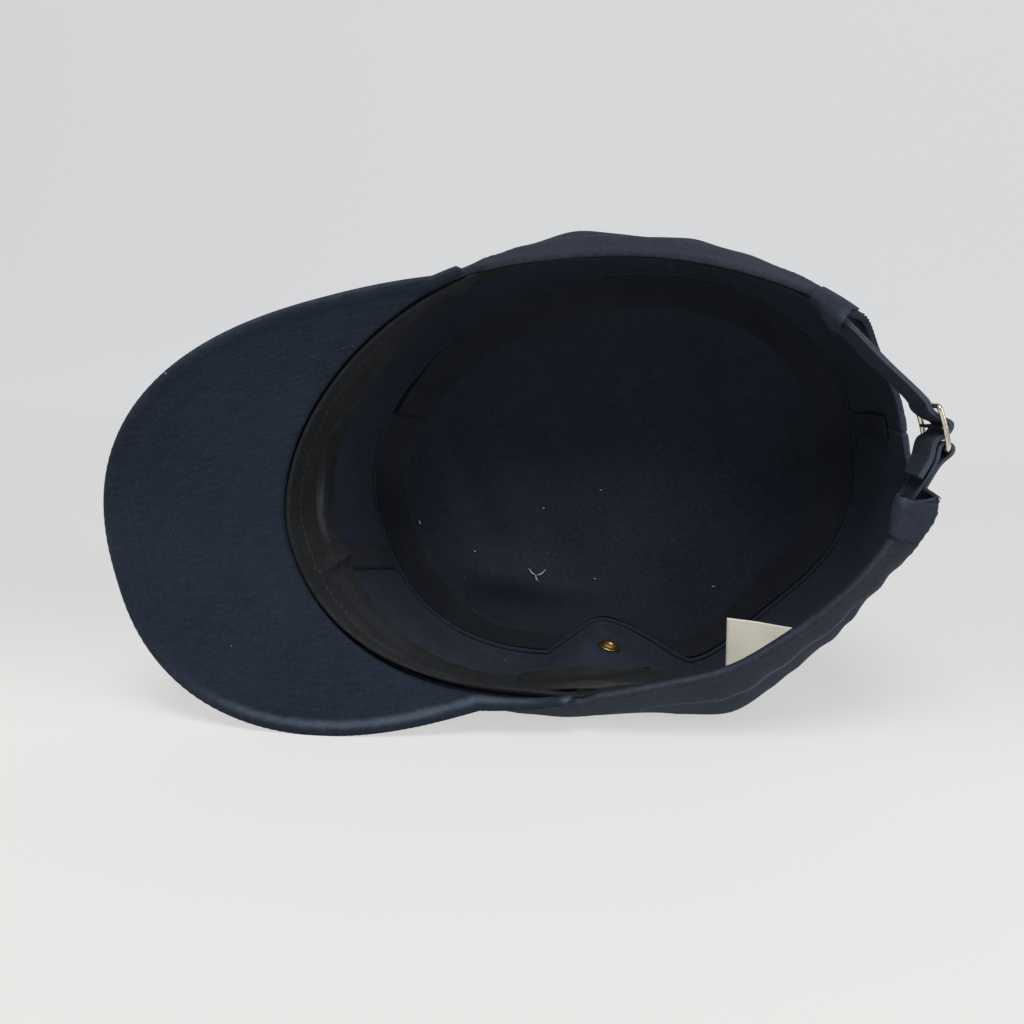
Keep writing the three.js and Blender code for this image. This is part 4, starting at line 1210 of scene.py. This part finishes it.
def buckleFrame():
    # rounded wire bent to a frame, bowed a little outwards, with a middle bar
    sides, towardsBack = buckle["sides"], np.array([1.0, 0, 0])
    w, h = buckle["width"] - buckle["bar"], buckle["length"] - buckle["bar"]
    r = buckle["corner"] - buckle["bar"] / 2
    y, z = w / 2 - r, h / 2 - r
    outline = []
    for cy, cz, start in ((y, z, 0), (-y, z, 90), (-y, -z, 180), (y, -z, 270)):
        for t in np.radians(np.linspace(start, start + 90, 9)):
            outline.append((cy + r * math.cos(t), cz + r * math.sin(t)))
    outline = np.array(outline)
    dense = []
    for a, b in zip(outline, np.roll(outline, -1, 0)):
        for t in np.linspace(0, 1, max(int(np.hypot(*(b - a)) / 0.8), 1), endpoint=False):
            dense.append(a + (b - a) * t)
    dense = np.array(dense)
    loop = np.column_stack([buckle["bow"] * (0.5 - (dense[:, 1] / (h / 2)) ** 2) * 0.6, dense])
    bar = np.column_stack([np.zeros(30), np.linspace(-w / 2, w / 2, 30), np.zeros(30)])
    roundLoop = unit(np.roll(loop, -1, 0) - np.roll(loop, 1, 0))
    points = np.vstack([
        ringsAlong(loop, roundLoop, towardsBack, buckle["bar"] / 2, sides).reshape(-1, 3),
        ringsAlong(bar, heading(bar), towardsBack, buckle["middle"] / 2, sides).reshape(-1, 3),
    ])
    faces = tubeFaces(len(loop), sides, closed=True) + tubeFaces(len(bar), sides, len(loop) * sides)
    out, across = points[:, 0], strap["width"] / 2 + points[:, 1]
    x = out * math.cos(strapLean) - across * math.sin(strapLean)
    y = out * math.sin(strapLean) + across * math.cos(strapLean)
    wire = rolled(x, y, buckle["q"] + points[:, 2])
    place(addPiece("buckleWire", wire, faces, points[:, 1:]), buckleNickel, "buckle_metal", "buckle")


buckleFrame()
print("strap and buckle ready")


# Eyelet with rolled flanges
def eyeletRing():
    gap, cloth = crown["gap"], crown["cloth"]
    b, t, g = eyelet["bore"], eyelet["barrel"], eyelet["flange"]
    low, high = -gap, cloth + gap
    profile = [
        (b, low - 0.35), (b + 0.3, low - 0.6), (g - 0.9, low - 0.75), (g - 0.2, low - 0.55), (g, low - 0.2),
        (g - 0.15, low), (t, low), (t, high), (g - 0.15, high), (g, high + 0.2), (g - 0.25, high + 0.5),
        (g - 1.0, high + 0.7), (b + 0.5, high + 0.62), (b + 0.1, high + 0.35), (b, high),
    ]
    axis = unit(eyeletAxis)
    side = unit(np.cross(axis, [0, 0, 1.0]))
    other = np.cross(axis, side)
    points = []
    for w in turnsOf(eyelet["turns"]):
        away = side * math.cos(w) + other * math.sin(w)
        points.append([eyeletSeat + axis * h + away * r for r, h in profile])
    faces = tubeFaces(len(points), len(profile), closed=True)
    weave = np.zeros((len(points), len(profile), 2))
    place(addPiece("eyeletRing", points, faces, weave), eyeletBrass, "eyelet_metal", "eyelet")


eyeletRing()

# Label: a bare folded tag that stands on the inside of the wall
label = dict(
    start=251.0, end=235.0, depth=31.6, foot=0.6, top=38.0, slant=2.5, curl=1.6,
    thick=0.9, edge=0.4, width=22.0, height=30.0,
)


def labelTag():
    across = np.linspace(0, 1, 40)
    upward = np.concatenate([np.linspace(0, 0.96, 26), [0.98, 0.99, 1.0]])
    u, v = np.meshgrid(across, upward, indexing="ij")
    angle = np.radians(label["start"] + (label["end"] - label["start"]) * u)
    foot = wallLayer(angle, label["depth"], crown["cloth"] + label["foot"])
    head = label["top"] - label["slant"] * u
    z = foot[..., 2] + label["foot"] + (head - foot[..., 2] - label["foot"]) * v
    bow = label["curl"] * (0.4 * np.sin(np.pi * u) * v - 0.35 * v**2 * (1 - u)) + 0.25 * np.sin(u * 9 + v * 4) * v
    y = label["depth"] + bow
    fromSide = np.minimum(np.minimum(u, 1 - u) * label["width"], (1 - v) * label["height"])
    edge = rounded(fromSide, label["edge"])
    outer = np.stack([foot[..., 0], y - label["thick"] / 2 + edge, z], -1)
    inner = np.stack([foot[..., 0], y + label["thick"] / 2 - edge, z], -1)
    wear = 0.6 * bell(fromSide, 0, 0.8) + 0.25 * bell(v, 0.25, 0.04)
    weave = np.stack([u * label["width"], v * label["height"]], -1)
    place(clothSheet("labelTag", outer, inner, weave, wear), labelCloth, "label_cloth", "label")


labelTag()
print("eyelet and label ready")

# Camera, at the angle of the photograph
view = dict(camera=(79.4, -459.9, 172.5), target=(-21.7, 0.0, 79.3), lens=49.6)


def aimed(name, data, eye, target):
    made = addObject(name, data)
    made.location = eye
    made.rotation_euler = (Vector(target) - Vector(eye)).to_track_quat("-Z", "Y").to_euler()
    return made


eye, target = (((np.array(view[k]) + shift) * mm).tolist() for k in ("camera", "target"))
camera = aimed("camera", bpy.data.cameras.new("camera"), eye, target)
camera.data.lens, camera.data.sensor_width = view["lens"], 36.0
camera.data.clip_start, camera.data.clip_end = 0.01, 20.0
bpy.context.scene.camera = camera

# Floor that sweeps up into a backdrop, and soft studio light
stage = dict(
    halfWidth=3.0, front=-2.0, bend=0.9, radius=0.7, height=2.6, paper=0.2,
    near=(0.585, 0.58, 0.566), far=(0.487, 0.487, 0.48), wall=(0.525, 0.53, 0.54),
    sky=(0.86, 0.9, 0.96, 1), skyStrength=0.22,
)


def sweep():
    profile = [(stage["front"], 0.0), (-0.6, 0.0), (0.0, 0.0), (0.45, 0.0)]
    for t in np.radians(np.linspace(0, 90, 24)):
        profile.append((stage["bend"] + stage["radius"] * math.sin(t), stage["radius"] * (1 - math.cos(t))))
    profile.append((stage["bend"] + stage["radius"], stage["height"]))
    xs = np.linspace(-stage["halfWidth"], stage["halfWidth"], 7)
    points = [(x, y, z) for x in xs for y, z in profile]
    m = len(profile)
    faces = []
    for i in range(len(xs) - 1):
        for k in range(i * m, i * m + m - 1):
            faces.append((k, k + m, k + m + 1, k + 1))
    mesh = bpy.data.meshes.new("sweep")
    mesh.from_pydata(points, [], faces)
    mesh.shade_smooth()
    floor = addObject("sweep", mesh)
    f = Finish("paper")
    back = f.split(f.node("ShaderNodeTexCoord", out="Object"))[1]
    # painted light: the glow runs from the near colour to the far colour across the floor, then to the backdrop's own
    glow = f.mix(f.clamp(back, -0.08, 0.13), stage["near"], stage["far"])
    glow = f.mix(f.clamp(back, 0.3, 1.1), glow, stage["wall"])
    paper, darker = (stage["paper"],) * 3, (stage["paper"] * 0.9,) * 3
    f.set(Base_Color=f.mix(f.mottle(9.0) * 0.2, paper, darker), Roughness=0.9)
    f.set(Emission_Color=glow, Emission_Strength=1.0)  # painted light: the floor glows, more near the cap and less towards the back, and this glow fills in the shadows the cap casts on it
    mesh.materials.append(f.material)


sweep()
lights = [
    dict(name="overhead", at=(0.15, -1.1, 1.7), aim=(0.0, -0.05, 0.05), size=0.9, power=33.0, colour=(1.0, 0.99, 0.97)),
    dict(name="sideFill", at=(1.75, -0.85, 0.75), aim=(0.0, 0.0, 0.08), size=0.8, power=14.0, colour=(0.97, 0.98, 1.0)),
]
for lamp in lights:
    data = bpy.data.lights.new(lamp["name"], "AREA")
    data.shape, data.size, data.energy, data.color = "SQUARE", lamp["size"], lamp["power"], lamp["colour"]
    aimed(lamp["name"], data, lamp["at"], lamp["aim"])
world = bpy.data.worlds.new("studio")
world.use_nodes = True
sky = world.node_tree.nodes["Background"].inputs
sky[0].default_value, sky[1].default_value = stage["sky"], stage["skyStrength"]
bpy.context.scene.world = world
bpy.context.scene.view_settings.view_transform = "Standard"
print("stage ready")
